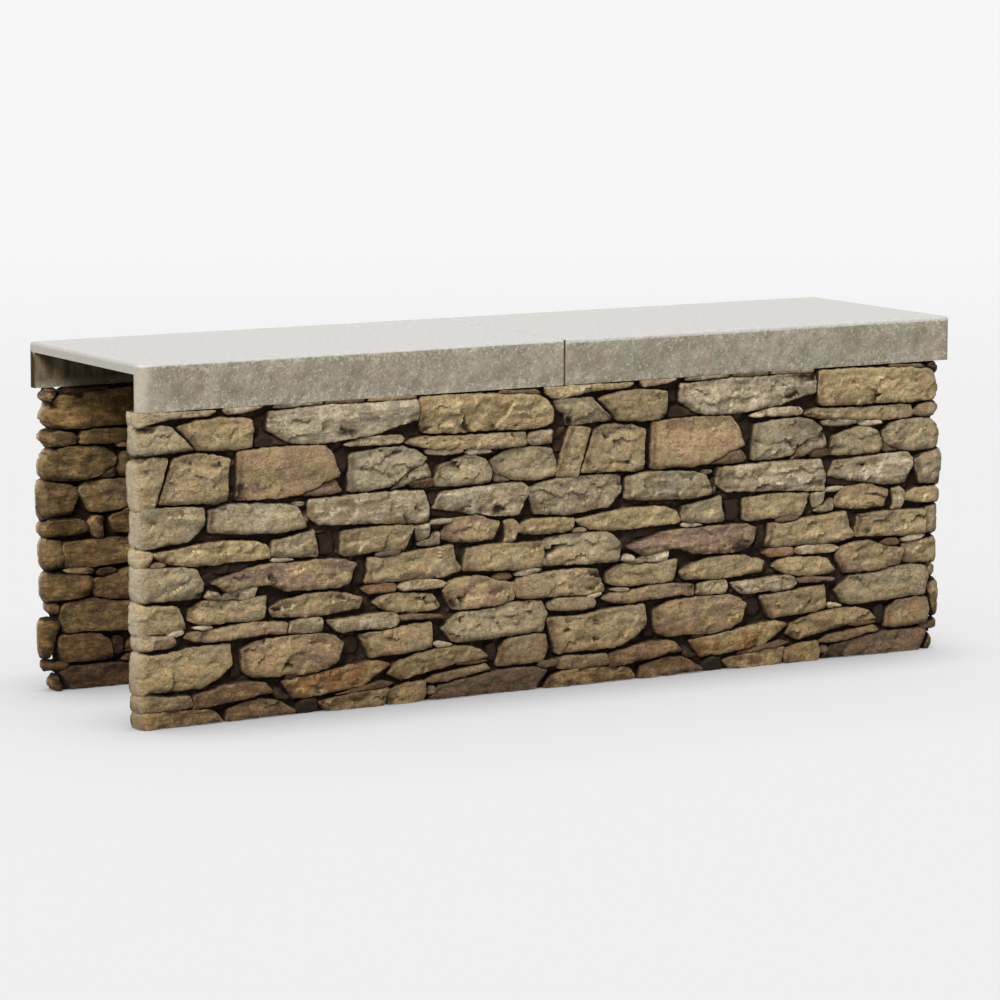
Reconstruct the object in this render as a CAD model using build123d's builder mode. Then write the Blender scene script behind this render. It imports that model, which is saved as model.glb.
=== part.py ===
"""A dry stone wall of two bays: two thin stone leaves with a hollow core, under channel copings.

Frame: origin on the ground at the middle of the wall, +X along the wall, +Y to the back, +Z up.
The wall looks the same when it is turned half a turn about the Z axis, so the back leaf is the
front leaf turned round.
"""
import os

from build123d import *

# Coping: one inverted channel a bay, open at both ends and below (mm)
BAY_LENGTH = 1335.5  # from the middle of one coping joint to the next
BAYS = 2
WALL_WIDTH = 720.0  # over the outer faces of the coping
COPING_HEIGHT = 130.0  # from the flanges' feet to the top
PLATE_THICKNESS = 28.0
FLANGE_THICKNESS = 35.0
COPING_ARRIS = 25.0  # rounding along the coping's two top edges
END_ARRIS = 20.0  # rounding round the outer edges of an exposed end
JOINT_GAP = 6.0  # open joint between neighbouring copings
JOINT_CHAMFER = 4.0

# Leaves: thin walls of coursed stone, one under each flange (mm)
LEAF_THICKNESS = 75.0
LEAF_OVERHANG = 10.0  # how far a leaf's near end runs out past the coping
LEAF_SHORTFALL = 21.0  # how far its other end stops short of the coping
QUOIN_RADIUS = 30.0  # rounding of the leaf's upright corners
BED_ARRIS = 5.0  # rounding of a course's edges along the bed joints
COURSE_HEIGHTS = (50.0, 55.0, 115.0, 45.0, 82.0, 88.0, 68.0, 100.0, 152.0, 115.0)
COURSE_PROUD = (4.0, 7.0, 3.0, 5.0, 0.0, 4.0, 2.0, 5.0, 0.0, 3.0)  # beyond the coping's face

# Worked out from the sizes above
WALL_LENGTH = BAYS * BAY_LENGTH
COPING_LENGTH = BAY_LENGTH - JOINT_GAP / 2
LEAF_HEIGHT = sum(COURSE_HEIGHTS)
LEAF_LENGTH = WALL_LENGTH + LEAF_OVERHANG - LEAF_SHORTFALL
LEAF_OFFSET = (LEAF_OVERHANG + LEAF_SHORTFALL) / 2
LEAF_MIDDLE = (WALL_WIDTH - LEAF_THICKNESS) / 2
QUOIN_LIMIT = min(QUOIN_RADIUS, 0.45 * LEAF_THICKNESS)
ARRIS_LIMIT = min(COPING_ARRIS, 0.9 * PLATE_THICKNESS, 0.9 * FLANGE_THICKNESS)
END_LIMIT = min(END_ARRIS, 0.8 * ARRIS_LIMIT)

FRONT = -1
BACK = 1
LEFT = -1
RIGHT = 1

os.makedirs("parts", exist_ok=True)


def leaf_course(name, side, bed, height, proud):
    """One course of a leaf: a slab of stone with rounded upright corners and soft bed edges."""
    middle = (side * LEAF_OFFSET, side * (LEAF_MIDDLE + proud), bed)
    with BuildPart() as course:
        with BuildSketch(Plane(origin=middle)):
            RectangleRounded(LEAF_LENGTH, LEAF_THICKNESS, QUOIN_LIMIT)
        extrude(amount=height)
        outlines = course.faces().filter_by(Axis.Z)
        fillet(outlines.edges(), radius=min(BED_ARRIS, 0.3 * height))
    course.part.label = name
    export_step(course.part, f"parts/{name}.step")
    return course.part


def coping_unit(name, side):
    """One coping: an inverted channel, its outer end rounded and its joint end chamfered."""
    foot = LEAF_HEIGHT
    top = LEAF_HEIGHT + COPING_HEIGHT
    soffit = top - PLATE_THICKNESS
    outer = WALL_WIDTH / 2
    inner = outer - FLANGE_THICKNESS
    joint_plane = Plane.YZ.offset(side * JOINT_GAP / 2)
    with BuildPart() as unit:
        with BuildSketch(joint_plane):
            with BuildLine():
                left_side = Line((-inner, soffit), (-inner, foot))
                left_foot = Line(left_side @ 1, (-outer, foot))
                outside = FilletPolyline(
                    left_foot @ 1, (-outer, top), (outer, top), (outer, foot), radius=ARRIS_LIMIT
                )
                right_foot = Line(outside @ 1, (inner, foot))
                right_side = Line(right_foot @ 1, (inner, soffit))
                Line(right_side @ 1, left_side @ 0)
            make_face()
        extrude(amount=side * COPING_LENGTH)
        ends = unit.faces().filter_by(Axis.X).sort_by(Axis.X)
        outer_end = ends[0] if side == LEFT else ends[-1]
        joint_end = ends[-1] if side == LEFT else ends[0]
        fillet(outer_edges(outer_end, inner, soffit), radius=END_LIMIT)
        chamfer(outer_edges(joint_end, inner, soffit), length=JOINT_CHAMFER)
    unit.part.label = name
    export_step(unit.part, f"parts/{name}.step")
    return unit.part


def outer_edges(end_face, inner, soffit):
    """The edges of a coping's end face that lie on its outside: two sides, two corners, the top."""
    return end_face.edges().filter_by(
        lambda edge: edge.center().Z > soffit + 1
        or (abs(edge.center().Y) > inner + 1 and edge.length > FLANGE_THICKNESS + 1)
    )


beds = [sum(COURSE_HEIGHTS[:number]) for number in range(len(COURSE_HEIGHTS))]
for side, leaf in ((FRONT, "front"), (BACK, "back")):
    for number, (bed, height, proud) in enumerate(zip(beds, COURSE_HEIGHTS, COURSE_PROUD), start=1):
        leaf_course(f"{leaf}_course_{number:02d}", side, bed, height, proud)

coping_unit("coping_left", LEFT)
coping_unit("coping_right", RIGHT)
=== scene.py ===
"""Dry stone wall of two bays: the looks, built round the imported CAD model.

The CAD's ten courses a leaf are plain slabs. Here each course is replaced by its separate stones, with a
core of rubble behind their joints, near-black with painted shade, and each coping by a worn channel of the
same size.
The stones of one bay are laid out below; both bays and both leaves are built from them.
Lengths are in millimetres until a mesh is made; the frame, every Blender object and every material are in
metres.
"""
import math

import bpy
import numpy as np
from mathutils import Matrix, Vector
from mathutils.geometry import delaunay_2d_cdt


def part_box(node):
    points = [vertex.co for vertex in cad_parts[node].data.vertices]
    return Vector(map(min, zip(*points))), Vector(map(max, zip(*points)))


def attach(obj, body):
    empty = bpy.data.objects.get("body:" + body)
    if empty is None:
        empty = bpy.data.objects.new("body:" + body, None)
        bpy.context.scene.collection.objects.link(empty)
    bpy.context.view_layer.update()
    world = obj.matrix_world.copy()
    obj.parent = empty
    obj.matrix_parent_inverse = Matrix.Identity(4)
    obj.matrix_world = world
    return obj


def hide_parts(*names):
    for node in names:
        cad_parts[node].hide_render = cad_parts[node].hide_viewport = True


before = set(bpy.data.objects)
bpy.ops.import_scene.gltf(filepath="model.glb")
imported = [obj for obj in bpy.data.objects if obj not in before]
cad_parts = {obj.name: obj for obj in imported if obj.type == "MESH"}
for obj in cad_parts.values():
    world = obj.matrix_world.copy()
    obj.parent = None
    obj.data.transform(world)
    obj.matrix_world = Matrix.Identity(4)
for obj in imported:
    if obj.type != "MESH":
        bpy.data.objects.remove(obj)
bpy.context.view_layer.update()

MM = 1000.0  # millimetres in a metre
COURSES = 10
LEAVES = {"front": 1, "back": -1}  # the back leaf is the front one turned by half a turn

# The layout below is drawn for a wall of these sizes, from the left end of its coping
LAYOUT_BAY = 1335.5
LAYOUT_HEIGHT = 870.0


# ---- sizes, from the frame

def node_box(name):
    """A CAD node's lowest and highest corners, in millimetres."""
    low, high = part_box(name)
    return np.array(low) * MM, np.array(high) * MM


COPING_LOW, COPING_JOINT = node_box("coping_left")
COPING_HIGH = node_box("coping_right")[1]
WALL_LEFT, FACE_Y = COPING_LOW[:2]
COPING_FOOT, COPING_TOP = COPING_LOW[2], COPING_HIGH[2]
LEAF_LEFT, LEAF_RIGHT = (corner[0] - WALL_LEFT for corner in node_box("front_course_01"))
course_low, course_high = node_box("front_course_05")
LEAF_THICKNESS = course_high[1] - course_low[1]


# ---- the stones of one bay

STONES = []


def stone(course, tint, stain, *outline, recess=0):
    """One stone of the bay: its course, its two colours, and its outline along the wall and up.

    recess is how far its face lies behind its neighbours'.
    """
    STONES.append((course, tint, stain, outline, recess))


# Under the coping
stone(10, "tan", "pale", (-66, 868), (-60, 848), (-42, 837), (-5, 833), (45, 842), (95, 849), (150, 851),
      (205, 851), (222, 857), (226, 868))
stone(10, "pink", "pale", (252, 868), (256, 856), (264, 851), (300, 853), (340, 858), (372, 866),
      (378, 869))
stone(10, "green", "buff", (-34, 828), (-10, 831), (55, 830), (104, 832), (108, 812), (126, 796),
      (142, 780), (149, 763), (140, 757), (80, 757), (22, 755), (4, 765), (0, 790), (-22, 800))
stone(10, "buff", "tan", (140, 832), (170, 838), (240, 842), (300, 839), (340, 832), (343, 800),
      (341, 768), (330, 756), (290, 752), (240, 754), (190, 757), (166, 762), (155, 780), (138, 797),
      (125, 806), (130, 820))
stone(10, "grey", "pale", (392, 848), (386, 815), (386, 793), (412, 786), (438, 768), (480, 758),
      (540, 755), (600, 756), (650, 762), (700, 767), (740, 772), (790, 787), (852, 799), (859, 810),
      (859, 845), (850, 856), (760, 858), (712, 851), (690, 859), (600, 858), (520, 857), (450, 853))
stone(10, "slate", "grey", (405, 862), (440, 860), (500, 863), (560, 863), (556, 869), (410, 869))
stone(10, "slate", "brown", (566, 864), (620, 862), (690, 862), (688, 869), (570, 869))
stone(10, "buff", "tan", (700, 863), (760, 860), (850, 861), (852, 869), (704, 869))
stone(10, "ochre", "tan", (868, 852), (885, 862), (980, 863), (1050, 861), (1130, 857), (1200, 853),
      (1248, 847), (1278, 832), (1297, 802), (1298, 780), (1288, 764), (1268, 755), (1200, 752),
      (1150, 755), (1080, 757), (1000, 755), (940, 758), (890, 761), (870, 771), (866, 810))
stone(10, "slate", "brown", (1118, 861), (1180, 857), (1238, 851), (1256, 853), (1240, 863), (1180, 863),
      (1130, 868))
stone(10, "shade", "brown", (352, 757), (352, 776), (372, 787), (400, 782), (430, 768), (470, 757),
      recess=9)
stone(10, "shade", "mauve", (352, 800), (354, 833), (376, 836), (380, 798), recess=16)

# The tall course, with the thin stones that level it
stone(9, "chip", "buff", (626, 744), (645, 750), (672, 758), (702, 762), (760, 762), (806, 759),
      (819, 748), (810, 738), (760, 736), (700, 739), (650, 739))
stone(9, "tan", "buff", (818, 736), (835, 745), (870, 750), (960, 746), (1050, 744), (1150, 745),
      (1190, 743), (1207, 736), (1211, 718), (1204, 708), (1150, 704), (1090, 705), (1000, 710),
      (930, 713), (870, 723), (840, 731))
stone(9, "pinktan", "pale", (1211, 722), (1225, 738), (1250, 744), (1285, 744), (1292, 734), (1290, 716),
      (1281, 707), (1240, 705), (1222, 709))
stone(9, "buff", "tan", (15, 741), (40, 748), (74, 743), (83, 730), (72, 700), (60, 662), (50, 632),
      (49, 612), (20, 605), (-14, 608), (-22, 625), (-15, 652), (-4, 690), (2, 706), (10, 725))
stone(9, "tan", "buff", (99, 733), (130, 745), (165, 748), (210, 743), (240, 740), (262, 731), (271, 714),
      (266, 680), (264, 640), (263, 613), (230, 608), (180, 614), (120, 614), (70, 616), (58, 626),
      (72, 660), (85, 692))
stone(9, "pinktan", "tan", (293, 612), (292, 642), (299, 680), (292, 702), (296, 735), (306, 746),
      (380, 750), (470, 751), (540, 748), (570, 741), (590, 716), (601, 685), (599, 656), (560, 645),
      (530, 630), (485, 616), (430, 609), (380, 612), (330, 609))
stone(9, "brown", "mauve", (492, 612), (535, 626), (562, 641), (596, 650), (612, 628), (612, 612),
      (560, 609))
stone(9, "grey", "green", (641, 622), (645, 650), (640, 680), (645, 705), (664, 717), (740, 727),
      (810, 726), (850, 716), (872, 701), (883, 685), (862, 668), (822, 656), (800, 640), (772, 619),
      (700, 612), (660, 613))
stone(9, "brown", "grey", (778, 616), (803, 636), (830, 652), (864, 665), (888, 681), (895, 656),
      (905, 638), (868, 633), (832, 622), (800, 611))
stone(9, "brown", "shade", (832, 618), (852, 628), (902, 633), (908, 612), (880, 607), (845, 610))
stone(9, "green", "buff", (910, 612), (918, 632), (912, 650), (926, 664), (955, 672), (985, 681),
      (1012, 690), (1046, 687), (1076, 675), (1092, 655), (1099, 640), (1093, 620), (1084, 609),
      (1000, 606), (940, 608))
stone(9, "pink", "grey", (881, 713), (920, 716), (965, 711), (1006, 707), (999, 700), (960, 696),
      (920, 697), (885, 702))
stone(9, "chip", "pale", (1010, 699), (1021, 706), (1090, 703), (1098, 694), (1060, 691), (1022, 692))
stone(9, "buff", "green", (1101, 660), (1111, 676), (1132, 690), (1170, 698), (1230, 700), (1272, 694),
      (1297, 681), (1308, 655), (1310, 627), (1300, 612), (1250, 606), (1200, 606), (1162, 611),
      (1130, 625), (1108, 641))
stone(9, "brown", "slate", (1102, 636), (1128, 621), (1160, 609), (1120, 606), (1100, 612), recess=6)
stone(9, "shade", "tan", (272, 652), (272, 706), (294, 700), (296, 668), (290, 648), recess=16)
stone(9, "shade", "mauve", (604, 655), (600, 715), (628, 735), (640, 706), (634, 670), recess=18)
stone(9, "shade", "brown", (-42, 650), (-30, 712), (-2, 706), (-16, 655), recess=16)

# Courses of middling height
stone(8, "buff", "grey", (-122, 575), (-114, 582), (-90, 592), (-40, 600), (0, 603), (80, 605), (150, 604),
      (176, 600), (189, 588), (190, 568), (186, 545), (165, 528), (150, 516), (120, 508), (80, 505),
      (40, 500), (0, 498), (-40, 502), (-92, 508), (-108, 525), (-112, 548))
stone(8, "buff", "grey", (204, 558), (206, 580), (216, 592), (250, 600), (300, 601), (370, 597),
      (430, 592), (462, 585), (480, 572), (493, 548), (488, 530), (476, 519), (430, 516), (350, 518),
      (270, 522), (238, 527), (212, 530), (205, 543))
stone(8, "buff", "pale", (511, 560), (516, 588), (536, 598), (600, 600), (700, 602), (800, 602),
      (862, 600), (879, 592), (886, 570), (893, 548), (893, 515), (886, 507), (820, 512), (760, 516),
      (700, 520), (640, 522), (580, 525), (543, 528), (523, 542))
stone(8, "buff", "pale", (912, 560), (925, 580), (946, 590), (1000, 594), (1060, 597), (1130, 600),
      (1180, 600), (1201, 594), (1214, 580), (1210, 562), (1200, 545), (1190, 525), (1174, 512),
      (1140, 508), (1100, 512), (1060, 520), (1020, 525), (970, 535), (930, 543), (912, 549))
stone(8, "tan", "buff", (490, 522), (500, 560), (508, 574), (514, 545), (516, 522), recess=10)
stone(8, "slate", "grey", (462, 588), (470, 594), (498, 593), (500, 587), (480, 583), recess=4)
stone(8, "mauve", "brown", (903, 526), (908, 541), (950, 537), (1000, 527), (1020, 519), (960, 517),
      recess=12)
stone(8, "shade", "shade", (894, 560), (896, 590), (914, 596), (922, 582), (908, 556), recess=14)

stone(7, "tan", "ochre", (-150, 470), (-142, 482), (-120, 490), (-60, 492), (0, 489), (25, 486), (34, 478),
      (30, 464), (20, 452), (0, 448), (-60, 448), (-120, 451), (-145, 457))
stone(7, "tan", "ochre", (48, 470), (55, 482), (90, 487), (140, 492), (180, 498), (250, 501), (310, 499),
      (350, 493), (372, 485), (386, 470), (395, 452), (384, 446), (340, 444), (290, 444), (230, 440),
      (170, 440), (130, 443), (90, 450), (64, 458))
stone(7, "green", "buff", (398, 468), (402, 485), (415, 493), (440, 497), (480, 505), (518, 512),
      (530, 505), (532, 480), (538, 460), (546, 446), (530, 440), (480, 441), (430, 444), (404, 450))
stone(7, "buff", "tan", (597, 438), (612, 452), (612, 480), (608, 498), (640, 503), (690, 506), (750, 507),
      (820, 503), (838, 495), (831, 478), (822, 460), (815, 442), (800, 436), (760, 440), (700, 438),
      (650, 433))
stone(7, "chip", "green", (849, 488), (855, 500), (880, 503), (895, 498), (893, 480), (888, 468),
      (870, 461), (856, 462), (854, 474))
stone(7, "green", "pale", (855, 448), (872, 456), (894, 461), (904, 472), (917, 478), (924, 466),
      (925, 450), (918, 445), (880, 442))
stone(7, "tan", "pink", (935, 470), (945, 490), (960, 505), (980, 512), (1012, 514), (1050, 520),
      (1070, 509), (1092, 500), (1115, 495), (1121, 484), (1112, 464), (1105, 452), (1090, 446),
      (1040, 443), (1000, 445), (960, 450), (938, 456))
stone(7, "chip", "tan", (1140, 494), (1160, 497), (1176, 490), (1190, 476), (1180, 460), (1172, 445),
      (1165, 435), (1150, 433), (1142, 446), (1146, 466))
stone(7, "chip", "chip", (896, 503), (905, 512), (940, 515), (966, 512), (958, 504), (925, 501))
stone(7, "pink", "grey", (28, 447), (36, 455), (60, 456), (76, 449), (60, 443), (40, 443), recess=4)
stone(7, "chip", "pale", (392, 438), (402, 444), (440, 441), (470, 435), (440, 432), (405, 433), recess=3)
stone(7, "shade", "brown", (552, 442), (556, 470), (550, 495), (590, 500), (596, 470), (588, 442),
      recess=14)
stone(7, "shade", "brown", (192, 430), (240, 436), (300, 438), (330, 432), (300, 416), (240, 414),
      (204, 416), recess=14)

stone(6, "buff", "green", (-72, 428), (-40, 436), (0, 440), (60, 441), (120, 439), (150, 434), (166, 424),
      (179, 404), (184, 380), (180, 360), (165, 352), (100, 352), (40, 353), (-20, 355), (-66, 358),
      (-73, 367))
stone(6, "mauve", "tan", (214, 388), (236, 396), (262, 402), (290, 412), (320, 420), (350, 424),
      (400, 427), (450, 425), (500, 427), (560, 428), (620, 424), (644, 416), (652, 398), (642, 375),
      (630, 356), (600, 348), (540, 347), (480, 350), (430, 352), (414, 362), (390, 372), (340, 373),
      (290, 363), (258, 362), (238, 374))
stone(6, "chip", "buff", (190, 353), (202, 368), (228, 362), (244, 346), (262, 360), (300, 366),
      (344, 369), (350, 360), (345, 340), (320, 336), (280, 340), (235, 340), (205, 346))
stone(6, "tan", "buff", (698, 405), (700, 418), (722, 420), (748, 418), (770, 422), (800, 425), (840, 428),
      (880, 432), (920, 436), (960, 438), (974, 432), (975, 410), (979, 394), (991, 380), (992, 368),
      (975, 358), (940, 350), (880, 350), (800, 350), (740, 350), (700, 352), (692, 365), (698, 385))
stone(6, "brown", "slate", (718, 430), (740, 436), (770, 438), (802, 434), (780, 427), (735, 424))
stone(6, "tan", "buff", (1003, 370), (1008, 395), (1015, 415), (1031, 425), (1100, 430), (1180, 428),
      (1250, 425), (1262, 418), (1265, 390), (1262, 365), (1250, 355), (1180, 352), (1130, 355),
      (1080, 358), (1030, 361), (1009, 362))
stone(6, "mauve", "shade", (655, 350), (660, 380), (655, 412), (684, 420), (690, 385), (684, 352),
      recess=16)
stone(6, "shade", "shade", (186, 378), (190, 405), (215, 418), (232, 404), (212, 384), recess=14)

stone(5, "chip", "chip", (-166, 340), (-145, 350), (-100, 352), (-71, 348), (-85, 340), (-130, 334),
      (-160, 334))
stone(5, "buff", "tan", (-158, 308), (-146, 325), (-120, 332), (-60, 335), (0, 338), (60, 338), (95, 333),
      (114, 318), (122, 300), (129, 280), (119, 265), (85, 260), (40, 263), (-60, 265), (-120, 266),
      (-150, 271), (-157, 287))
stone(5, "buff", "tan", (144, 290), (145, 310), (155, 326), (176, 337), (210, 341), (260, 336), (310, 332),
      (350, 338), (372, 339), (379, 320), (375, 295), (368, 280), (345, 275), (280, 277), (220, 275),
      (170, 279))
stone(5, "tan", "buff", (391, 300), (405, 310), (430, 320), (470, 328), (500, 335), (560, 336), (610, 333),
      (640, 323), (673, 315), (676, 300), (671, 284), (640, 280), (580, 275), (520, 273), (450, 276),
      (400, 280))
stone(5, "rust", "pink", (678, 334), (700, 345), (750, 347), (785, 344), (790, 332), (785, 322),
      (740, 320), (698, 322))
stone(5, "chip", "tan", (792, 330), (800, 342), (840, 347), (900, 346), (930, 340), (952, 330), (940, 322),
      (880, 320), (808, 322))
stone(5, "buff", "tan", (721, 299), (735, 310), (770, 315), (820, 312), (880, 307), (905, 302), (916, 290),
      (927, 275), (922, 262), (900, 256), (850, 256), (800, 260), (760, 268), (738, 278), (725, 287))
stone(5, "tan", "pink", (930, 312), (945, 320), (960, 335), (1000, 342), (1060, 344), (1088, 336),
      (1104, 325), (1140, 320), (1166, 315), (1179, 300), (1173, 277), (1165, 265), (1130, 258),
      (1080, 254), (1020, 252), (978, 254), (962, 263), (950, 285), (936, 300))
stone(5, "brown", "brown", (1098, 336), (1120, 346), (1154, 344), (1166, 331), (1150, 325), (1112, 326))

stone(4, "buff", "pink", (-57, 248), (-32, 257), (0, 257), (60, 254), (90, 252), (99, 240), (95, 225),
      (70, 221), (20, 222), (-30, 225), (-55, 229))
stone(4, "chip", "chip", (74, 254), (94, 263), (124, 266), (122, 256), (100, 251))
stone(4, "pink", "tan", (127, 250), (160, 258), (200, 258), (250, 262), (300, 268), (350, 270), (390, 266),
      (430, 262), (442, 256), (440, 240), (425, 232), (380, 236), (330, 232), (270, 230), (210, 226),
      (160, 232), (140, 240))
stone(4, "chip", "pink", (150, 270), (180, 273), (216, 268), (210, 263), (180, 262))
stone(4, "buff", "pale", (455, 262), (500, 267), (549, 266), (553, 250), (548, 230), (520, 228),
      (470, 230), (446, 232), (452, 248))
stone(4, "buff", "pale", (571, 249), (586, 258), (640, 257), (700, 262), (770, 262), (790, 255),
      (798, 236), (785, 222), (740, 218), (700, 222), (660, 222), (620, 220), (600, 222), (585, 235))
stone(4, "mauve", "brown", (797, 249), (830, 253), (880, 248), (932, 242), (925, 237), (870, 237),
      (802, 239))

stone(3, "buff", "tan", (-52, 200), (-30, 204), (30, 201), (80, 205), (130, 213), (200, 216), (262, 217),
      (270, 197), (272, 172), (262, 150), (240, 130), (215, 118), (180, 103), (120, 101), (60, 102),
      (0, 100), (-26, 104), (-36, 125), (-46, 160), (-56, 185))
stone(3, "tan", "pink", (302, 182), (304, 150), (314, 130), (338, 118), (400, 116), (450, 117), (482, 112),
      (520, 115), (560, 121), (590, 135), (606, 152), (615, 178), (613, 194), (600, 204), (583, 213),
      (560, 220), (500, 223), (420, 222), (350, 217), (324, 206), (308, 195))
stone(3, "tan", "buff", (679, 206), (690, 209), (740, 211), (790, 215), (830, 222), (870, 223), (888, 215),
      (898, 195), (899, 165), (890, 152), (860, 148), (800, 145), (740, 142), (696, 140), (691, 165),
      (680, 186))
stone(3, "green", "buff", (938, 198), (950, 216), (985, 239), (1010, 243), (1060, 243), (1100, 246),
      (1140, 255), (1170, 260), (1220, 259), (1250, 256), (1265, 245), (1273, 228), (1270, 203),
      (1262, 177), (1236, 168), (1200, 168), (1150, 165), (1110, 163), (1060, 160), (1000, 158),
      (970, 163), (952, 180))
stone(3, "chip", "chip", (902, 164), (920, 168), (945, 163), (966, 156), (950, 152), (915, 152))
stone(3, "shade", "brown", (620, 160), (618, 190), (640, 205), (664, 200), (672, 170), (655, 152),
      recess=18)
stone(3, "shade", "mauve", (275, 120), (276, 150), (290, 170), (300, 140), (306, 122), recess=14)

# Near the ground
stone(2, "buff", "pink", (-28, 64), (-28, 80), (-10, 90), (20, 89), (70, 84), (110, 85), (140, 83),
      (144, 66), (140, 53), (100, 50), (50, 51), (0, 52), (-20, 55))
stone(2, "slate", "pink", (-90, 72), (-80, 82), (-50, 80), (-36, 84), (-28, 76), (-35, 66), (-60, 64),
      (-85, 65))
stone(2, "pinktan", "brown", (151, 60), (153, 75), (166, 84), (200, 90), (250, 100), (300, 106),
      (340, 104), (365, 100), (378, 92), (389, 80), (384, 72), (362, 72), (345, 66), (300, 60), (250, 55),
      (200, 50), (166, 46), (152, 50))
stone(2, "rust", "ochre", (428, 93), (450, 100), (500, 105), (560, 112), (620, 120), (680, 127),
      (720, 131), (742, 127), (749, 111), (738, 96), (715, 85), (690, 70), (670, 62), (640, 60), (600, 55),
      (550, 50), (500, 47), (466, 47), (452, 60), (440, 76))
stone(2, "tan", "buff", (764, 98), (774, 112), (790, 120), (810, 126), (850, 138), (900, 143), (960, 148),
      (1010, 147), (1040, 138), (1060, 129), (1071, 118), (1060, 108), (1020, 105), (980, 103), (950, 95),
      (900, 88), (850, 80), (810, 72), (785, 77), (766, 86))
stone(2, "brown", "brown", (975, 98), (1010, 103), (1050, 104), (1082, 101), (1068, 96), (1010, 93),
      recess=3)
stone(2, "pinktan", "buff", (1114, 90), (1118, 105), (1110, 118), (1122, 131), (1150, 152), (1180, 158),
      (1220, 161), (1260, 158), (1275, 145), (1279, 117), (1268, 90), (1245, 82), (1200, 80), (1150, 79),
      (1122, 81))
stone(2, "buff", "pink", (883, 60), (905, 72), (950, 76), (1000, 82), (1040, 86), (1070, 89), (1084, 82),
      (1076, 70), (1040, 68), (1000, 60), (950, 53), (900, 52), (886, 54))
stone(2, "slate", "brown", (398, 62), (404, 76), (416, 78), (436, 60), (460, 50), (440, 47), (412, 50),
      recess=8)
stone(2, "mauve", "brown", (430, 104), (440, 114), (462, 116), (478, 110), (455, 104), recess=6)
stone(2, "shade", "brown", (1086, 96), (1084, 140), (1106, 146), (1114, 120), (1108, 94), recess=12)

stone(1, "brown", "tan", (-66, 3), (-56, 24), (-36, 38), (-8, 46), (40, 49), (100, 46), (160, 43),
      (200, 41), (217, 33), (233, 18), (234, 3))
stone(1, "brown", "pink", (250, 3), (255, 25), (270, 38), (310, 50), (362, 54), (400, 50), (430, 36),
      (458, 20), (466, 3))
stone(1, "brown", "buff", (545, 24), (560, 31), (620, 40), (700, 47), (745, 50), (756, 40), (750, 20),
      (756, 3), (600, 1), (560, 6))
stone(1, "tan", "buff", (758, 10), (758, 34), (775, 46), (820, 57), (860, 58), (876, 50), (880, 28),
      (874, 4), (764, 3))
stone(1, "brown", "mauve", (590, 44), (640, 54), (690, 63), (740, 71), (772, 66), (766, 58), (745, 53),
      (700, 50), (640, 44))
stone(1, "grey", "mauve", (885, 30), (890, 42), (905, 42), (911, 30), (904, 20), (888, 20), recess=4)
stone(1, "slate", "mauve", (902, 4), (908, 24), (922, 40), (960, 46), (1010, 53), (1060, 60), (1120, 66),
      (1180, 68), (1240, 65), (1262, 60), (1269, 46), (1256, 30), (1246, 12), (1238, 3))
stone(1, "shade", "slate", (472, 3), (478, 30), (500, 42), (534, 36), (540, 3), recess=10)

# Colours of the stones (display values, 0 to 255)
# shade and packing are near-black: painted shade, on stones set deep in the joints and on the rubble behind
# them
TINTS = {
    "buff": (152, 134, 103), "tan": (158, 136, 99), "ochre": (176, 155, 115), "pink": (138, 114, 91),
    "pinktan": (152, 125, 96), "rust": (141, 102, 65), "mauve": (128, 103, 87), "grey": (148, 136, 111),
    "green": (144, 131, 103), "pale": (180, 165, 138), "chip": (194, 177, 146), "brown": (109, 85, 58),
    "slate": (105, 93, 77), "shade": (65, 47, 30), "packing": (48, 35, 23),
}


def colour(shown):
    """Display values, 0 to 255, as a scene-linear colour."""
    value = np.array(shown, float) / 255.0
    linear = np.where(value <= 0.04045, value / 12.92, ((value + 0.055) / 1.055) ** 2.4)
    return tuple(linear) + (1.0,)


# ---- smooth noise, always the same

def scatter(cell_u, cell_v, seed):
    """A number from 0 to 1 for each whole-number place, from its bits mixed by large odd factors."""
    key = cell_u.astype(np.uint32) * np.uint32(374761393) + cell_v.astype(np.uint32) * np.uint32(668265263)
    key = key + np.uint32((seed * 2246822519) % 2 ** 32)
    key = (key ^ (key >> np.uint32(13))) * np.uint32(1274126177)
    key = key ^ (key >> np.uint32(16))
    return (key & np.uint32(0xFFFF)).astype(float) / 0xFFFF


def noise(u, v, seed):
    """Gradient noise over a plane, about -1 to 1, with one bump in each unit."""
    cell_u, cell_v = np.floor(u), np.floor(v)
    part_u, part_v = u - cell_u, v - cell_v
    ease_u = part_u ** 3 * (part_u * (part_u * 6 - 15) + 10)
    ease_v = part_v ** 3 * (part_v * (part_v * 6 - 15) + 10)
    cell_u, cell_v = cell_u.astype(np.int64), cell_v.astype(np.int64)

    def corner(step_u, step_v):
        angle = scatter(cell_u + step_u, cell_v + step_v, seed) * 2 * math.pi
        return np.cos(angle) * (part_u - step_u) + np.sin(angle) * (part_v - step_v)

    low = corner(0, 0) * (1 - ease_u) + corner(1, 0) * ease_u
    high = corner(0, 1) * (1 - ease_u) + corner(1, 1) * ease_u
    return 1.5 * (low * (1 - ease_v) + high * ease_v)


def bumps(points, length, height, seed):
    """Noise over points of a face, with bumps of that length and height."""
    return noise(points[:, 0] / length, points[:, 1] / height, seed)


def smooth(low, high, value):
    """0 below low, 1 above high, and an easy curve between."""
    share = np.clip((value - low) / (high - low), 0, 1)
    return share * share * (3 - 2 * share)


# ---- outlines and fills

POINT_SPACING = 6.0  # along an outline and between the points of a stone's face
BACK_SPACING = 13.0  # on the stones' inner faces, inside the wall
ROW_SHARE = 0.866  # the distance between rows of even triangles, beside the spacing of their points
OUTSET = 1.7  # a stone runs this far past the edge seen on its face
CORNER_CUT = 2.0  # cut back from each corner
CUT_SHARE = 0.28  # of a side, and at most this

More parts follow.
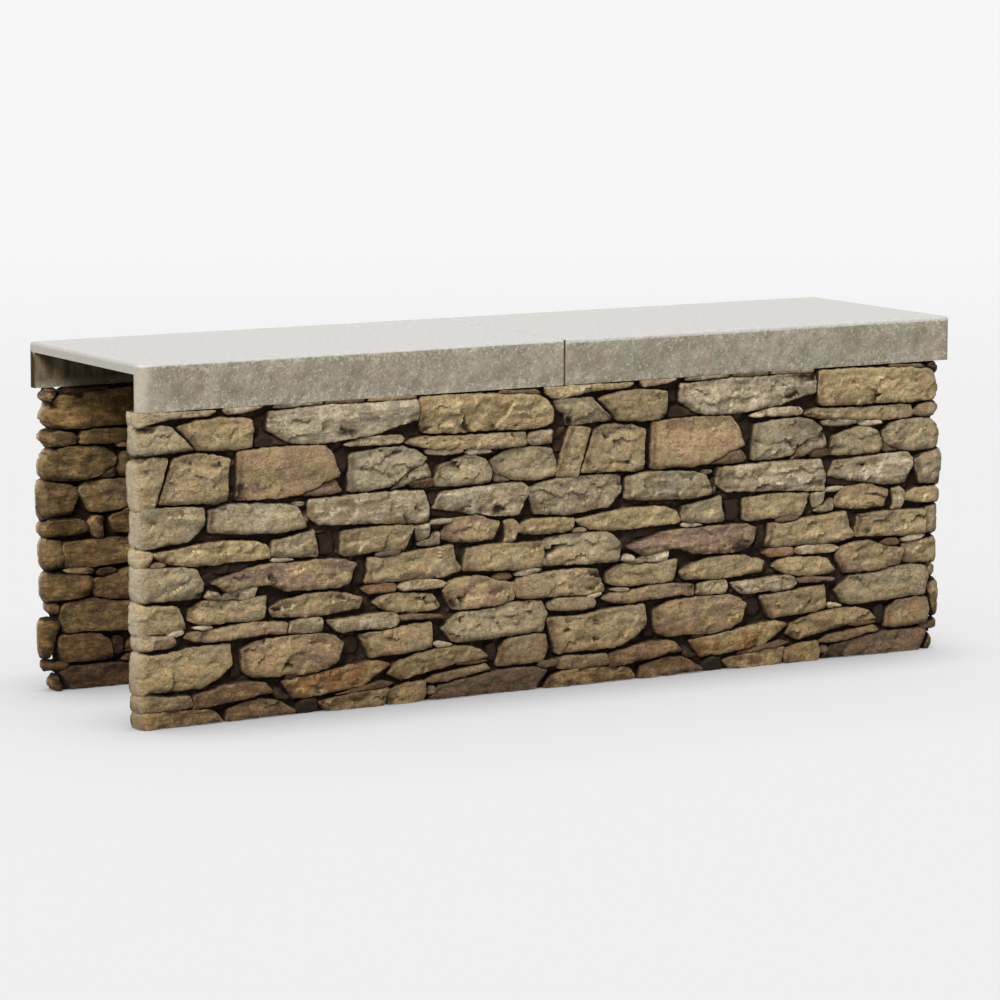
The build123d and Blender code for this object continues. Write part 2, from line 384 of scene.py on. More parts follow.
# A blunted corner is a side shorter than this, and than this share of the stone's height and length
BLUNT, BLUNT_SHARE = 32.0, 0.4
# How far such a corner is drawn out at most, and what share that is of the longest side that counts as one
DRAWN_OUT, DRAWN_SHARE = 16.0, 0.6
HOLLOW_TURN, SHARP_TURN = -0.15, 0.3  # sines of the turns at a hollow and at a corner that can be drawn out


def clipped(points, side, limit):
    """The part of an outline that lies to one side (1 or -1) of an upright line."""
    kept = []
    for here, after in zip(points, points[1:] + points[:1]):
        here_in, after_in = side * (here[0] - limit) >= 0, side * (after[0] - limit) >= 0
        if here_in:
            kept.append(here)
        if here_in != after_in:
            share = (limit - here[0]) / (after[0] - here[0])
            kept.append((limit, here[1] + share * (after[1] - here[1])))
    return kept


def cross(first, second):
    return first[..., 0] * second[..., 1] - first[..., 1] * second[..., 0]


def shortest_side(line, settled, limit):
    """The length and number of an outline's shortest side that isn't settled yet, or the limit and 0."""
    sides = []
    for index, (here, after) in enumerate(zip(line, line[1:] + line[:1])):
        if tuple(here) not in settled:
            sides.append((np.hypot(*(after - here)), index))
    return min(sides, default=(limit, 0), key=lambda side: side[0])


def squared(line):
    """An anticlockwise outline whose blunted corners are drawn out to where its longer sides would meet."""
    blunt = min(BLUNT, BLUNT_SHARE * np.ptp(line, axis=0).min())
    drawn_out = min(DRAWN_OUT, DRAWN_SHARE * blunt)
    line, settled = list(line), set()
    while len(line) > 4:
        length, index = shortest_side(line, settled, blunt)
        if length >= blunt:
            break
        line = line[index:] + line[:index]
        here, after = line[:2]
        entering, leaving = here - line[-1], line[2] - after
        turn = cross(entering, leaving) / (np.hypot(*entering) * np.hypot(*leaving))
        if turn < HOLLOW_TURN:
            settled.add(tuple(here))
            continue
        middle = (here + after) / 2
        if turn > SHARP_TURN:
            reach = cross(after - here, leaving) / cross(entering, leaving)
            draw = here + reach * entering - middle
            middle = middle + draw * min(1.0, drawn_out / max(np.hypot(*draw), 1e-6))
        line = [middle] + line[2:]
    return np.array(line)


def spaced(points, spacing):
    """A closed outline, anticlockwise, with its corners cut and an even number of points spaced evenly."""
    line = np.array(points, float)
    if np.sum(cross(line, np.roll(line, -1, axis=0))) < 0:
        line = line[::-1]
    line = squared(line)
    run = np.roll(line, -1, axis=0) - line
    cut = run * np.minimum(CUT_SHARE, CORNER_CUT / np.maximum(np.hypot(*run.T), 1))[:, None]
    line = np.stack([line + cut, line + run - cut], axis=1).reshape(-1, 2)
    closed = np.vstack([line, line[:1]])
    along = np.concatenate([[0], np.cumsum(np.hypot(*np.diff(closed, axis=0).T))])
    count = max(8, 2 * int(round(along[-1] / spacing / 2)))
    places = np.arange(count) * along[-1] / count
    return np.stack([np.interp(places, along, closed[:, axis]) for axis in (0, 1)], axis=1)


def outward(line):
    """The outward direction at each point of a closed outline that runs anticlockwise."""
    along = np.roll(line, -1, axis=0) - np.roll(line, 1, axis=0)
    along /= np.maximum(np.hypot(*along.T), 1e-9)[:, None]
    return np.stack([along[:, 1], -along[:, 0]], axis=1)


def depth_inside(points, line):
    """How far each point lies inside an outline; negative outside. Points are done in batches."""
    run = np.roll(line, -1, axis=0) - line
    length2 = np.maximum(np.sum(run ** 2, axis=1), 1e-12)
    rise = np.where(np.abs(run[:, 1]) < 1e-9, 1e-9, run[:, 1])
    depths = []
    for some in np.array_split(points, 1 + len(points) // 2000):
        gap = some[:, None, :] - line[None]
        share = np.clip(np.sum(gap * run[None], axis=2) / length2, 0, 1)
        away = gap - share[..., None] * run[None]
        nearest = np.sqrt(np.min(np.sum(away ** 2, axis=2), axis=1))
        level = some[:, None, 1]
        across = (line[None, :, 1] > level) != (line[None, :, 1] + run[None, :, 1] > level)
        meets = line[None, :, 0] + (level - line[None, :, 1]) / rise[None] * run[None, :, 0]
        inside = np.sum(across & (some[:, None, 0] < meets), axis=1) % 2 == 1
        depths.append(np.where(inside, nearest, -nearest))
    return np.concatenate(depths)


def filled(line, spacing, ring_depths):
    """Triangles over an outline, and where the outline's own points are among theirs."""
    away = outward(line)
    groups = [line]
    for depth in ring_depths:
        ring = line - away * depth
        groups.append(ring[depth_inside(ring, line) > 0.82 * depth])
    low, high = line.min(axis=0), line.max(axis=0)
    rows = np.arange(low[1], high[1] + spacing, spacing * ROW_SHARE)
    columns = np.arange(low[0], high[0] + spacing, spacing)
    grid = np.stack(np.meshgrid(columns, rows), axis=-1)
    grid[1::2, :, 0] += spacing / 2
    grid = grid.reshape(-1, 2)
    groups.append(grid[depth_inside(grid, line) > max(ring_depths, default=0) + 0.55 * spacing])
    points = np.vstack(groups)
    count = len(line)
    rim = [(index, (index + 1) % count) for index in range(count)]
    made = delaunay_2d_cdt([Vector(point) for point in points.tolist()], rim, [], 1, 1e-5)
    places = np.array([tuple(place) for place in made[0]])
    triangles = np.array([face for face in made[2] if len(face) == 3])
    order = np.full(count, -1)
    for index, sources in enumerate(made[3]):
        for source in sources:
            if source < count:
                order[source] = index
    return places, triangles, order


def strip(above, below):
    """Triangles between two rings of equal length, the second one deeper in the wall."""
    after_above, after_below = np.roll(above, -1), np.roll(below, -1)
    return np.vstack([np.column_stack([above, below, after_below]),
                      np.column_stack([above, after_below, after_above])])


def halving_strip(above, below):
    """Triangles from a ring to one with half as many points, deeper in the wall."""
    first, second, third = above[0::2], above[1::2], np.roll(above, -2)[0::2]
    after = np.roll(below, -1)
    return np.vstack([np.column_stack([first, below, second]), np.column_stack([second, below, after]),
                      np.column_stack([second, after, third])])


def edge_drop(depth, radius):
    """How far a rounded edge falls back, at a depth inside the outline."""
    share = np.clip(depth / radius, 0, 1)
    return radius * (1 - np.sqrt(np.maximum(0, 1 - (1 - share) ** 2)))


# ---- the split face of a stone

FACET = 40.0  # about this from the middle of one facet to the next
FACET_TILT, FACET_STEP = 0.14, 1.4  # how much facets differ in slope, and in depth
MOST_LEAN = 4.0  # how far a whole face's lean takes its edges back at most
BEVEL_ANGLES = ((90, 1), (-90, 2))  # about which way bevels face, and how many do: up, and down
BEVEL_REACH = 50.0  # a bevel's width is a share of half the stone's size, or of this where that is more

# Layers: how thick, and how long and high their bumps are; the broad ones are drawn out along the bedding
BROAD_LAYERS = ((2.2, 50.0, 30.0), (0.8, 20.0, 11.0))
FINE_LAYERS = (0.3, 12.0, 7.0)
LAYER_STEPS = (1.6, 2.8)  # the least and the most that one layer's level lies behind the next
LAYER_SHARE = 0.85  # how much of the layers' relief a face keeps
CREASE_DEPTH, CREASE_SHARPNESS = 1.6, 12.0


def terraces(height, step):
    """Heights gathered on flat levels with steep risers between, as stone splits along its bedding."""
    level = np.floor(height / step)
    return step * (level + smooth(0.35, 1.0, height / step - level))


def facets(points, random):
    """Flat planes at odd angles, each a few centimetres across and longer along the bedding."""
    low, high = points.min(axis=0), points.max(axis=0)
    counts = np.maximum(1, np.round((high - low) / (1.5 * FACET, 0.8 * FACET))).astype(int)
    cells = np.meshgrid(np.arange(counts[0]) + 0.5, np.arange(counts[1]) + 0.5)
    middles = np.stack(cells, axis=-1).reshape(-1, 2)
    middles = low + (middles + random.uniform(-0.45, 0.45, middles.shape)) * (high - low) / counts
    seed = int(random.integers(1, 90000))
    warp = np.column_stack([8 * bumps(points, 26, 26, seed + axis)
                            + 3 * bumps(points, 10, 10, seed + 3 + axis) for axis in (0, 1)])
    gaps = (points + warp)[:, None] - middles[None]
    nearest = np.argmin((gaps[..., 0] / 1.6) ** 2 + gaps[..., 1] ** 2, axis=1)
    slopes = random.normal(0, 1, middles.shape) * (0.6 * FACET_TILT, FACET_TILT)
    levels = random.normal(0, FACET_STEP, len(middles))
    return levels[nearest] + np.sum(slopes[nearest] * (points - middles[nearest]), axis=1)


def bevelled(back, along, up, size, warp, random):
    """Broad bevels where pieces split off the edges, most of them at the top and the foot."""
    angles = [random.normal(middle, 25, count) for middle, count in BEVEL_ANGLES]
    for angle in np.radians(np.concatenate(angles + [random.uniform(0, 360, 2)])):
        reach = along * math.cos(angle) + up * math.sin(angle) + 0.8 * warp
        limit = abs(size[0] / 2 * math.cos(angle)) + abs(size[1] / 2 * math.sin(angle))
        width = random.uniform(0.15, 0.5) * min(limit, BEVEL_REACH)
        back = back + random.uniform(0.1, 0.32) * np.maximum(0, reach - (limit - width))
    return back


def layered(back, along, up, seed, random, roughness):
    """Layers that have split away along the bedding, which is tilted a little, with creases between some."""
    tilt = math.radians(random.normal(0, 16))
    run = along * math.cos(tilt) + up * math.sin(tilt)
    rise = up * math.cos(tilt) - along * math.sin(tilt)
    drawn_out = random.uniform(1.2, 2.6)
    layers = 0
    for number, (thick, length, height) in enumerate(BROAD_LAYERS):
        layers = layers + thick * noise(run / (length * drawn_out), rise / height, seed + 4 + number)
    thick, length, height = FINE_LAYERS
    layers = layers + thick * noise(run / length, rise / height, seed + 6)
    back = back + LAYER_SHARE * roughness * terraces(layers, random.uniform(*LAYER_STEPS))
    creases = np.exp(-np.abs(noise(run / 44, rise / 17, seed + 2)) * CREASE_SHARPNESS)
    creased = smooth(-0.1, 0.5, noise(along / 60, up / 60, seed + 7))
    return back + roughness * CREASE_DEPTH * creases * creased


def relief(points, line, random, roughness):
    """How far each point of a split stone face lies behind its plane."""
    low, high = line.min(axis=0), line.max(axis=0)
    middle, size = (low + high) / 2, high - low
    along, up = (points - middle).T
    seed = int(random.integers(1, 90000))
    back = np.clip(random.normal(0, 0.02) * along, -MOST_LEAN, MOST_LEAN)
    back = back + np.clip(random.normal(0, 0.08) * up, -MOST_LEAN, MOST_LEAN)
    back = bevelled(back, along, up, size, 8 * bumps(points, 50, 50, seed), random)
    back = back + roughness * facets(points, random)
    back = layered(back, along, up, seed, random, roughness)
    back = back + 0.6 * bumps(points, 13, 9, seed + 3)
    return back - np.median(back)


# ---- one stone

FULL_SIZE = 50.0  # a stone less high or long than this has points set closer, and straighter edges
EDGE_ROUND, EDGE_SHARE = 4.4, 0.22  # the radius of a stone's edges, at most that share of height or length
BURIED = 20.0  # how far the lowest stones' outlines run on below the ground, so that their feet stay sharp
PROUD = 4.5  # how far stones stand in or out of their course's face, at most
FACE_HIGHEST, FACE_DEEPEST = -7.0, 0.4  # limits of the outer face, in mm and as a share of the thickness
INNER_NEAREST, INNER_PAST = 0.7, 5.0  # and of the inner face, as a share of the thickness and in mm past it
SKIN = 3.0  # how far the inner face lies inside the leaf
SIDE_BULGE, SIDE_NOISE = 3.0, 1.5  # how far a stone's sides swell between its faces, and how uneven they are
GAP_BULGE = 6.0  # how much more they swell near the leaf's ends, to close its joints

# Roundings in plan, at the near end of a leaf (the front one's left) and at its far end
NEAR_ROUND, FAR_ROUND = 27.0, 40.0
INNER_NEAR_ROUND, INNER_FAR_ROUND = 7.0, 24.0
NEAR_BOW, FAR_BOW = 3.5, 13.0  # how far the corners of a cut stone draw in
THIN_DRAWN_IN = 10.0  # how much shorter the thin stones stop at the far end
END_REACH = 45.0  # how far into the leaf its ends change a stone
FAR_SHIFTS = (-8.0, 6.0)  # how much further out the far end of the front leaf and of the back one comes
SHIFT_START, SHIFT_FULL = 160.0, 20.0  # from the far end, where that shift starts and where it is whole
NEAR_DARK, FAR_DARK = 0.75, 0.15  # how far in from the outer face the sides turn dark with the painted shade of the wall's inside, towards either end
NEAR_SWELL = 5.0  # how much the courses close up towards the near end
PLAIN_SIDES = (0.22, 0.5)  # where a stone's rings lie, from the outer face (0) to the inner (1)
END_SIDES = (0.08, 0.2, 0.34, 0.5, 0.66, 0.8, 0.92)  # and those of a stone that shows at an end

# Painted shade darkens and browns each stone's left and lower side; this gives its direction, then its reach
PAINTED_SHADE_SIDE = np.array([-13.0, -6.0])  # towards the stones' darker sides
PAINTED_SHADE_REACH = 10.0  # over which that darkness fades
SMOOTHER = {"pinktan": 0.4, "slate": 0.7}  # how rough these stones' faces are, beside the others

# Lengths between which a thing sets in or fades
CHIP_LENGTHS = (30, 90)  # a stone this short is a chip, and one this long is none
THIN_HEIGHTS = (25, 80)  # a stone this high is thin, and one this high isn't
CORE_DEPTHS = (2, 30)  # from a stone's edge, where its middle begins and where it is fully reached
SWELL_FADE, PAINTED_SHADE_FADE, DARK_FADE = (5, 50), (15, 60), (10, 60)  # from the leaf's near end
BULGE_FADE = (40, 90)  # from either end


def end_drop(along, ends, near_radius, far_radius):
    """How far a face of the leaf curves back near either end of the leaf."""
    return np.maximum(edge_drop(np.maximum(along - ends[0], 0), near_radius),
                      edge_drop(np.maximum(ends[1] - along, 0), far_radius))


def cut_to_ends(line, ends):
    """An outline brought right to the leaf's ends where it meets them, and whether it does."""
    meets = False
    for end, side, bow, shorter in zip(ends, (1, -1), (NEAR_BOW, FAR_BOW), (0, THIN_DRAWN_IN)):
        cut = side * (line[:, 0] - end) < 1
        if cut.sum() <= 2:
            continue
        meets = True
        low, high = line[cut, 1].min(), line[cut, 1].max()
        drawn = shorter * (1 - smooth(*THIN_HEIGHTS, high - low))
        share = np.clip(np.abs(2 * (line[:, 1] - low) / (high - low) - 1), 0, 1)
        inward = np.maximum(side * (line[:, 0] - end), 0)
        line[cut, 0] = end
        line[:, 0] += side * (drawn + bow * share ** 3) * (1 - smooth(0, END_REACH, inward))
    return line, meets


def shaken(line, ends, seed, small):
    """An outline with wandering edges, swollen up and down near the leaf's near end."""
    away = outward(line)
    shake = 2.0 * bumps(line, 26, 26, seed) + 1.5 * bumps(line, 12, 12, seed + 7)
    moved = line + away * small * shake[:, None]
    moved[:, 1] += NEAR_SWELL * (1 - smooth(*SWELL_FADE, line[:, 0] - ends[0])) * away[:, 1]
    return moved


class Stone:
    """One stone's outline and triangles, which its copies on both leaves share."""

    def __init__(self, course, tint, stain, outline, recess, number, ends):
        self.course, self.tint, self.stain = course, tint, stain
        self.recess, self.number, self.ends = recess, number, ends
        self.small = float(np.clip(np.ptp(outline, axis=0).min() / FULL_SIZE, 0.25, 1))
        spacing = POINT_SPACING * max(0.7, self.small)
        line = spaced(outline, spacing)
        line, meets_end = cut_to_ends(line + outward(line) * OUTSET, ends)
        self.rings = END_SIDES if meets_end else PLAIN_SIDES
        self.line = shaken(line, ends, number, self.small)
        # Its edges are rounded from this outline, and its shape is cut off at the ground and the coping
        self.edge = self.line.copy()
        self.edge[self.line[:, 1] < 3, 1] -= BURIED
        self.line[:, 1] = np.clip(self.line[:, 1], 0.0, LAYOUT_HEIGHT)
        self.span = np.ptp(self.line, axis=0)
        self.radius = min(EDGE_ROUND, EDGE_SHARE * self.span.min())
        self.face, self.face_triangles, self.face_rim = filled(
            self.line, spacing, [0.14 * self.radius, 0.5 * self.radius])
        self.half = self.line[::2]
        self.back, self.back_triangles, self.back_rim = filled(self.half, BACK_SPACING, [0.4 * self.radius])

    def painted_side_shade(self, points, edge):
        """How far each point of a face lies in the painted shade on the stone's left and lower side, 0 to 1.
        """
        scale = np.clip(self.span.min() / 60, 0.2, 1)
        reach = PAINTED_SHADE_REACH * scale
        return smooth(reach, -0.4 * reach, depth_inside(points + PAINTED_SHADE_SIDE * scale, edge))

    def outer_face(self, random, seed, roughness, proud):
        """The outer face's points, and what the material reads there."""
        chip = 1 - smooth(*CHIP_LENGTHS, self.span[0])
        proud = proud - chip
        inside = np.maximum(depth_inside(self.face, self.edge), 0)
        radius = self.radius * (0.35 + smooth(-0.15, 0.6, bumps(self.face, 34, 34, seed)))
        calm = 0.6 + 0.4 * smooth(0, 10, inside)
        bend = end_drop(self.face[:, 0], self.ends, NEAR_ROUND, FAR_ROUND)
        depth = relief(self.face, self.line, random, roughness) * calm + edge_drop(inside, radius) - proud
        depth = np.clip(depth, FACE_HIGHEST, LEAF_THICKNESS * FACE_DEEPEST) + bend
        # The shade reading is painted shade: darker the further the face lies behind its course's face, as
        # in a joint
        read = {"shade": smooth(2.2 + 2 * chip, 11, depth + proud + self.recess - bend),
                "core": smooth(*CORE_DEPTHS, inside), "inner": np.zeros(len(depth)),
                "end": smooth(2, 14, bend),
                "painted_side_shade": self.painted_side_shade(self.face, self.edge) * smooth(*PAINTED_SHADE_FADE, self.face[:, 0] - self.ends[0])}
        return np.insert(self.face, 1, depth, axis=1), read

    def inner_face(self, random, roughness):
        """The inner face's points, and what the material reads there."""
        inside = np.maximum(depth_inside(self.back, self.edge[::2]), 0)
        bend = end_drop(self.back[:, 0], self.ends, INNER_NEAR_ROUND, INNER_FAR_ROUND)
        depth = (LEAF_THICKNESS - SKIN - relief(self.back, self.half, random, roughness)
                 - edge_drop(inside, 0.7 * self.radius))
        depth = np.clip(depth, LEAF_THICKNESS * INNER_NEAREST, LEAF_THICKNESS + INNER_PAST) - bend
        # Painted shade here too, darker where the inner face lies deeper
        read = {"shade": smooth(2.5, 15, LEAF_THICKNESS - SKIN - depth - bend),
                "core": smooth(*CORE_DEPTHS, inside), "inner": np.ones(len(depth)),
                "end": np.zeros(len(depth)), "painted_side_shade": self.painted_side_shade(self.back, self.edge[::2])}
        return np.insert(self.back, 1, depth, axis=1), read

    def side_rings(self, outer_depth, inner_depth, seed):
        """Rings of points down the stone's sides, each with what the material reads there."""
        away = outward(self.line)
        from_near, from_far = self.line[:, 0] - self.ends[0], self.ends[1] - self.line[:, 0]
        is_near, from_end = from_near < from_far, np.minimum(from_near, from_far)
        facing_end = smooth(0.35, 0.8, np.where(is_near, -away[:, 0], away[:, 0]))
        at_end = np.where(from_end < END_REACH, facing_end, 0)
        hidden_shade = 1 - 0.6 * (1 - smooth(*DARK_FADE, from_near))
        dark_from = np.where(is_near, NEAR_DARK, FAR_DARK)
        for share in self.rings:
            bulge = math.sin(math.pi * share)
            swell = SIDE_BULGE * self.small * bulge * (1 - 0.5 * at_end)
            swell = swell + GAP_BULGE * bulge * (1 - at_end) * (1 - smooth(*BULGE_FADE, from_end))
            uneven = noise(self.line[:, 0] / 18 + 3 * share, self.line[:, 1] / 12, seed + 5)
            swell = swell + SIDE_NOISE * uneven
            ring = self.line + away * swell[:, None]
            dark = np.where(share > dark_from, np.minimum(1, (share - dark_from) / 0.3), 0)
            # Painted shade on the sides, in the joints, except where a side shows at the leaf's end
            read = {"shade": (1 - at_end) * hidden_shade, "core": 0.5 * at_end, "inner": dark, "end": at_end,
                    "painted_side_shade": 1 - at_end}
            yield np.insert(ring, 1, outer_depth + share * (inner_depth - outer_depth), axis=1), read

    def shape(self, copy):
        """Points (along, depth, up), triangles, and what the material reads at each point."""
        random = np.random.default_rng(1000 * copy + self.number)
        seed = 31 * self.number + 977 * copy
        proud = random.uniform(-PROUD, PROUD) - self.recess
        roughness = random.uniform(0.6, 1.15) * min(1.0, self.span[1] / FULL_SIZE)
        roughness *= SMOOTHER.get(self.tint, 1.0)
        outer = self.outer_face(random, seed, roughness, proud)
        inner = self.inner_face(random, roughness)
        outer_depth = outer[0][self.face_rim, 1]
        inner_depth = np.repeat(inner[0][self.back_rim, 1], 2)
        groups, triangles = [outer], [self.face_triangles]
        above, count = self.face_rim, len(self.face)
        for ring in self.side_rings(outer_depth, inner_depth, seed):
            below = count + np.arange(len(self.line))
            groups.append(ring)
            triangles.append(strip(above, below))
            above, count = below, count + len(self.line)
        groups.append(inner)
        triangles += [halving_strip(above, count + self.back_rim), count + self.back_triangles[:, ::-1]]

        places = np.vstack([points for points, _ in groups])
        shifted = smooth(self.ends[1] - SHIFT_START, self.ends[1] - SHIFT_FULL, places[:, 0])
        places[:, 0] += FAR_SHIFTS[copy] * shifted
        places[:, 2] = np.clip(places[:, 2], 0.0, LAYOUT_HEIGHT)
        read = {key: np.concatenate([values[key] for _, values in groups]) for key in outer[1]}
        # The dark stones get no painted end light
        read["end"] = read["end"] * (self.tint != "shade")
        read.update(tint=self.tint, stain=self.stain, seed=0.37 * (self.number % 97) + 0.11 * copy)
        return places, np.vstack(triangles), read


# ---- the packing behind the joints

PACKING_SPACING = 13.0  # between points
PACKING_DEPTH = 30.0  # behind either face
NEAR_SHORT, FAR_SHORT = 32.0, 40.0  # how far it stops short of the leaf's ends
SLOT_FROM_END, SLOT_DEPTH = 70.0, 11.0  # the top course's packing is lower by the depth, near the far end


def lumps(along, up, seed):
    """Rubble: rounded lumps with sharp hollows between them."""
    coarse = np.abs(noise(along / 30, up / 22, seed)) ** 0.7
    fine = np.abs(noise(along / 15, up / 12, seed + 1)) ** 0.7
    return 11 * coarse + 5 * fine


def packing(bed, top, ends, seed):
    """A lumpy core that closes one course's joints: points, triangles and what the material reads.

    Its near-black colour is painted shade, darkest in its hollows and near the leaf's ends.
    """
    left, right = ends[0] + NEAR_SHORT, ends[1] - FAR_SHORT
    columns = np.linspace(left, right, int((right - left) / PACKING_SPACING))
    rows = np.linspace(0, 1, 2 + int((top - bed) / PACKING_SPACING))
    along, share = np.meshgrid(columns, rows)
    roof = np.full(len(columns), float(top))
    if top >= LAYOUT_HEIGHT:
        roof[columns > ends[1] - SLOT_FROM_END] -= SLOT_DEPTH
    up = bed + share * (roof[None] - bed)
    outer_lump, inner_lump = lumps(along, up, seed).ravel(), lumps(along, up, seed + 50).ravel()
    outer = np.column_stack([along.ravel(), PACKING_DEPTH - outer_lump, up.ravel()])
    inner = np.column_stack([along.ravel(), LEAF_THICKNESS - PACKING_DEPTH + inner_lump, up.ravel()])
    index = np.arange(along.size).reshape(along.shape)
    low_left, low_right = index[:-1, :-1].ravel(), index[:-1, 1:].ravel()
    high_left, high_right = index[1:, :-1].ravel(), index[1:, 1:].ravel()
    sheet = np.vstack([np.column_stack([low_left, low_right, high_right]),
                       np.column_stack([low_left, high_right, high_left])])
    loop = np.concatenate([index[0, :-1], index[:-1, -1], index[-1, :0:-1], index[:0:-1, 0]])
    edge = strip(loop, loop + along.size)
    from_end = np.tile(np.minimum(along - left, right - along).ravel(), 2)
    # Painted shade: darkest in the packing's hollows and near the leaf's ends, lighter on its lumps
    shade = 1 - 0.75 * smooth(4, 13, np.concatenate([outer_lump, inner_lump])) * smooth(5, 40, from_end)
    read = {"tint": "packing", "stain": "brown", "shade": shade, "core": 0.6, "end": 0.0, "seed": 5.0,
            "painted_side_shade": 0.0, "inner": np.repeat([0.0, 1.0], along.size)}
    return np.vstack([outer, inner]), np.vstack([sheet, sheet[:, ::-1] + along.size, edge]), read


# ---- meshes

def make_piece(name, parts, colours, numbers, material, crease):
    """One object from several parts: (points in mm, triangles, {attribute: value})."""
    offsets = np.cumsum([0] + [len(part[0]) for part in parts[:-1]])
    points = np.vstack([part[0] for part in parts]) / MM
    triangles = np.vstack([part[1] + offset for part, offset in zip(parts, offsets)])
    mesh = bpy.data.meshes.new(name)
    mesh.vertices.add(len(points))
    mesh.vertices.foreach_set("co", points.ravel())
    mesh.loops.add(triangles.size)
    mesh.loops.foreach_set("vertex_index", triangles.ravel().astype(np.int32))
    mesh.polygons.add(len(triangles))
    mesh.polygons.foreach_set("loop_start", np.arange(0, triangles.size, 3, dtype=np.int32))
    mesh.polygons.foreach_set("loop_total", np.full(len(triangles), 3, np.int32))
    mesh.polygons.foreach_set("use_smooth", np.ones(len(triangles), bool))
    for key in colours:
        values = [np.tile(colour(TINTS[read[key]]), (len(places), 1)) for places, _, read in parts]
        layer = mesh.attributes.new(key, "FLOAT_COLOR", "POINT")
        layer.data.foreach_set("color", np.vstack(values).ravel().astype(np.float32))
    for key in numbers:
        values = [np.broadcast_to(read[key], len(places)) for places, _, read in parts]
        layer = mesh.attributes.new(key, "FLOAT", "POINT")
        layer.data.foreach_set("value", np.concatenate(values).astype(np.float32))
    mesh.update(calc_edges=True)
    mesh.validate()
    mesh.set_sharp_from_angle(angle=crease)
    mesh.materials.append(material)
    piece = bpy.data.objects.new(name, mesh)
    bpy.context.scene.collection.objects.link(piece)
    return piece


# ---- the stones of a leaf

NEAR_REACH, FAR_REACH = 16.0, 36.0  # a stone that comes this near the leaf's near or far end runs on to it
NEAR_SLIVER, FAR_SLIVER = 14.0, 31.0  # a stone that has no more than this within the leaf is left out
DEEP = 8.0  # a stone recessed by more than this isn't cut by the leaf's ends, but left out
# How far each course sticks out past the leaf at its two ends, from the ground up
NEAR_ENDS = (-1, 2, 3, 0, 3, 1, 2, 0, 3, 2)
FAR_ENDS = (-6, 10, 19, 0, 12, 10, 16, 19, 13, 8)
# The last stone of the top course, wedged over its neighbour's shoulder; it starts the third bay
FAR_STUB = ((-62, 864), (-56, 850), (-8, 828), (10, 826), (10, 864))
BAY_NUMBERS = 200  # between the numbers of a stone and of its copy in the next bay


def course_ends(course):
    """Where a course starts and stops along the leaf; no two courses quite line up."""
    return LEAF_LEFT - NEAR_ENDS[course - 1], LEAF_RIGHT + FAR_ENDS[course - 1]


def trimmed(outline, left, right):
    """An outline cut at the leaf's ends, and squared up where it comes near one of them."""
    first, last = min(x for x, _ in outline), max(x for x, _ in outline)
    if first < left + NEAR_REACH:
        outline = [(left - NEAR_REACH if x < left + NEAR_REACH else x, z) for x, z in outline]
    if right - FAR_REACH < last < right:
        start = max(first, last - 3 * FAR_REACH)
        pull = (right + 2 - start) / (last - start)
        outline = [(max(x, start + pull * (x - start)), z) for x, z in outline]
    return clipped(clipped(outline, 1, left), -1, right)


def lay_stones():
    """Every stone of a leaf of two bays, cut at the leaf's ends."""
    laid = []
    for bay in (0, 1, 2):
        for number, (course, tint, stain, outline, recess) in enumerate(STONES):
            left, right = course_ends(course)
            line = [(x + bay * LAYOUT_BAY, z) for x, z in outline]
            first, last = min(x for x, _ in line), max(x for x, _ in line)
            if last < left + NEAR_SLIVER or first > right - FAR_SLIVER:
                continue
            if recess > DEEP and (first < left or last > right):
                continue
            # The top course's last stone takes the shade tint, as painted shade
            if bay == 2 and course == COURSES:
                tint, line = "shade", [(x + 2 * LAYOUT_BAY, z) for x, z in FAR_STUB]
            line = trimmed(line, left + OUTSET, right - OUTSET)
            laid.append(Stone(course, tint, stain, line, recess, number + BAY_NUMBERS * bay, (left, right)))
    return laid


# ---- the coping channels

PLATE = 28.0  # thickness of the coping's top
FLANGE = 35.0  # thickness of its two sides
ARRIS, ARRIS_POINTS = 8.0, 5  # the rounding along the top edges
NEAR_CORNER, FAR_CORNER = 34.0, 9.0  # in plan, at an exposed end: front left and back right, and the others
CORNER_POINTS = 8
JOINT_CHAMFER = 1.5
JOINT_RECESS = 5.0  # how far behind the faces the joint is closed
JOINT_REACH = 7.0  # from the left channel's end to just inside the right one
FACE_STEP, TOP_STEP, INNER_STEP = 7.0, 15.0, 24.0  # between points on the faces and along, on top and inside
CAP_STEP = 12.0  # between points on the ends
BROW = 7.0  # how far down the faces the top's smoothness fades
PAINTED_END_FADES = (4, 75), (0, 12)  # where the exposed end's painted light and shade fade, on the front face and elsewhere
HALF, INNER_HALF = -FACE_Y, -FACE_Y - FLANGE  # from the wall's middle to the channel's faces and inner faces
ROOF = COPING_TOP - PLATE


def stretch(start, end, spacing):
    """Points from start up to, but not including, end."""
    start, end = np.array(start, float), np.array(end, float)
    count = max(1, int(round(np.hypot(*(end - start)) / spacing)))
    return start + (end - start) * (np.arange(count) / count)[:, None]


def round_steps(radius, count):
    """Places across a quarter circle, from its tangent line inwards, evenly turned."""
    return radius * (1 - np.cos(np.radians(90 * np.arange(count) / count)))


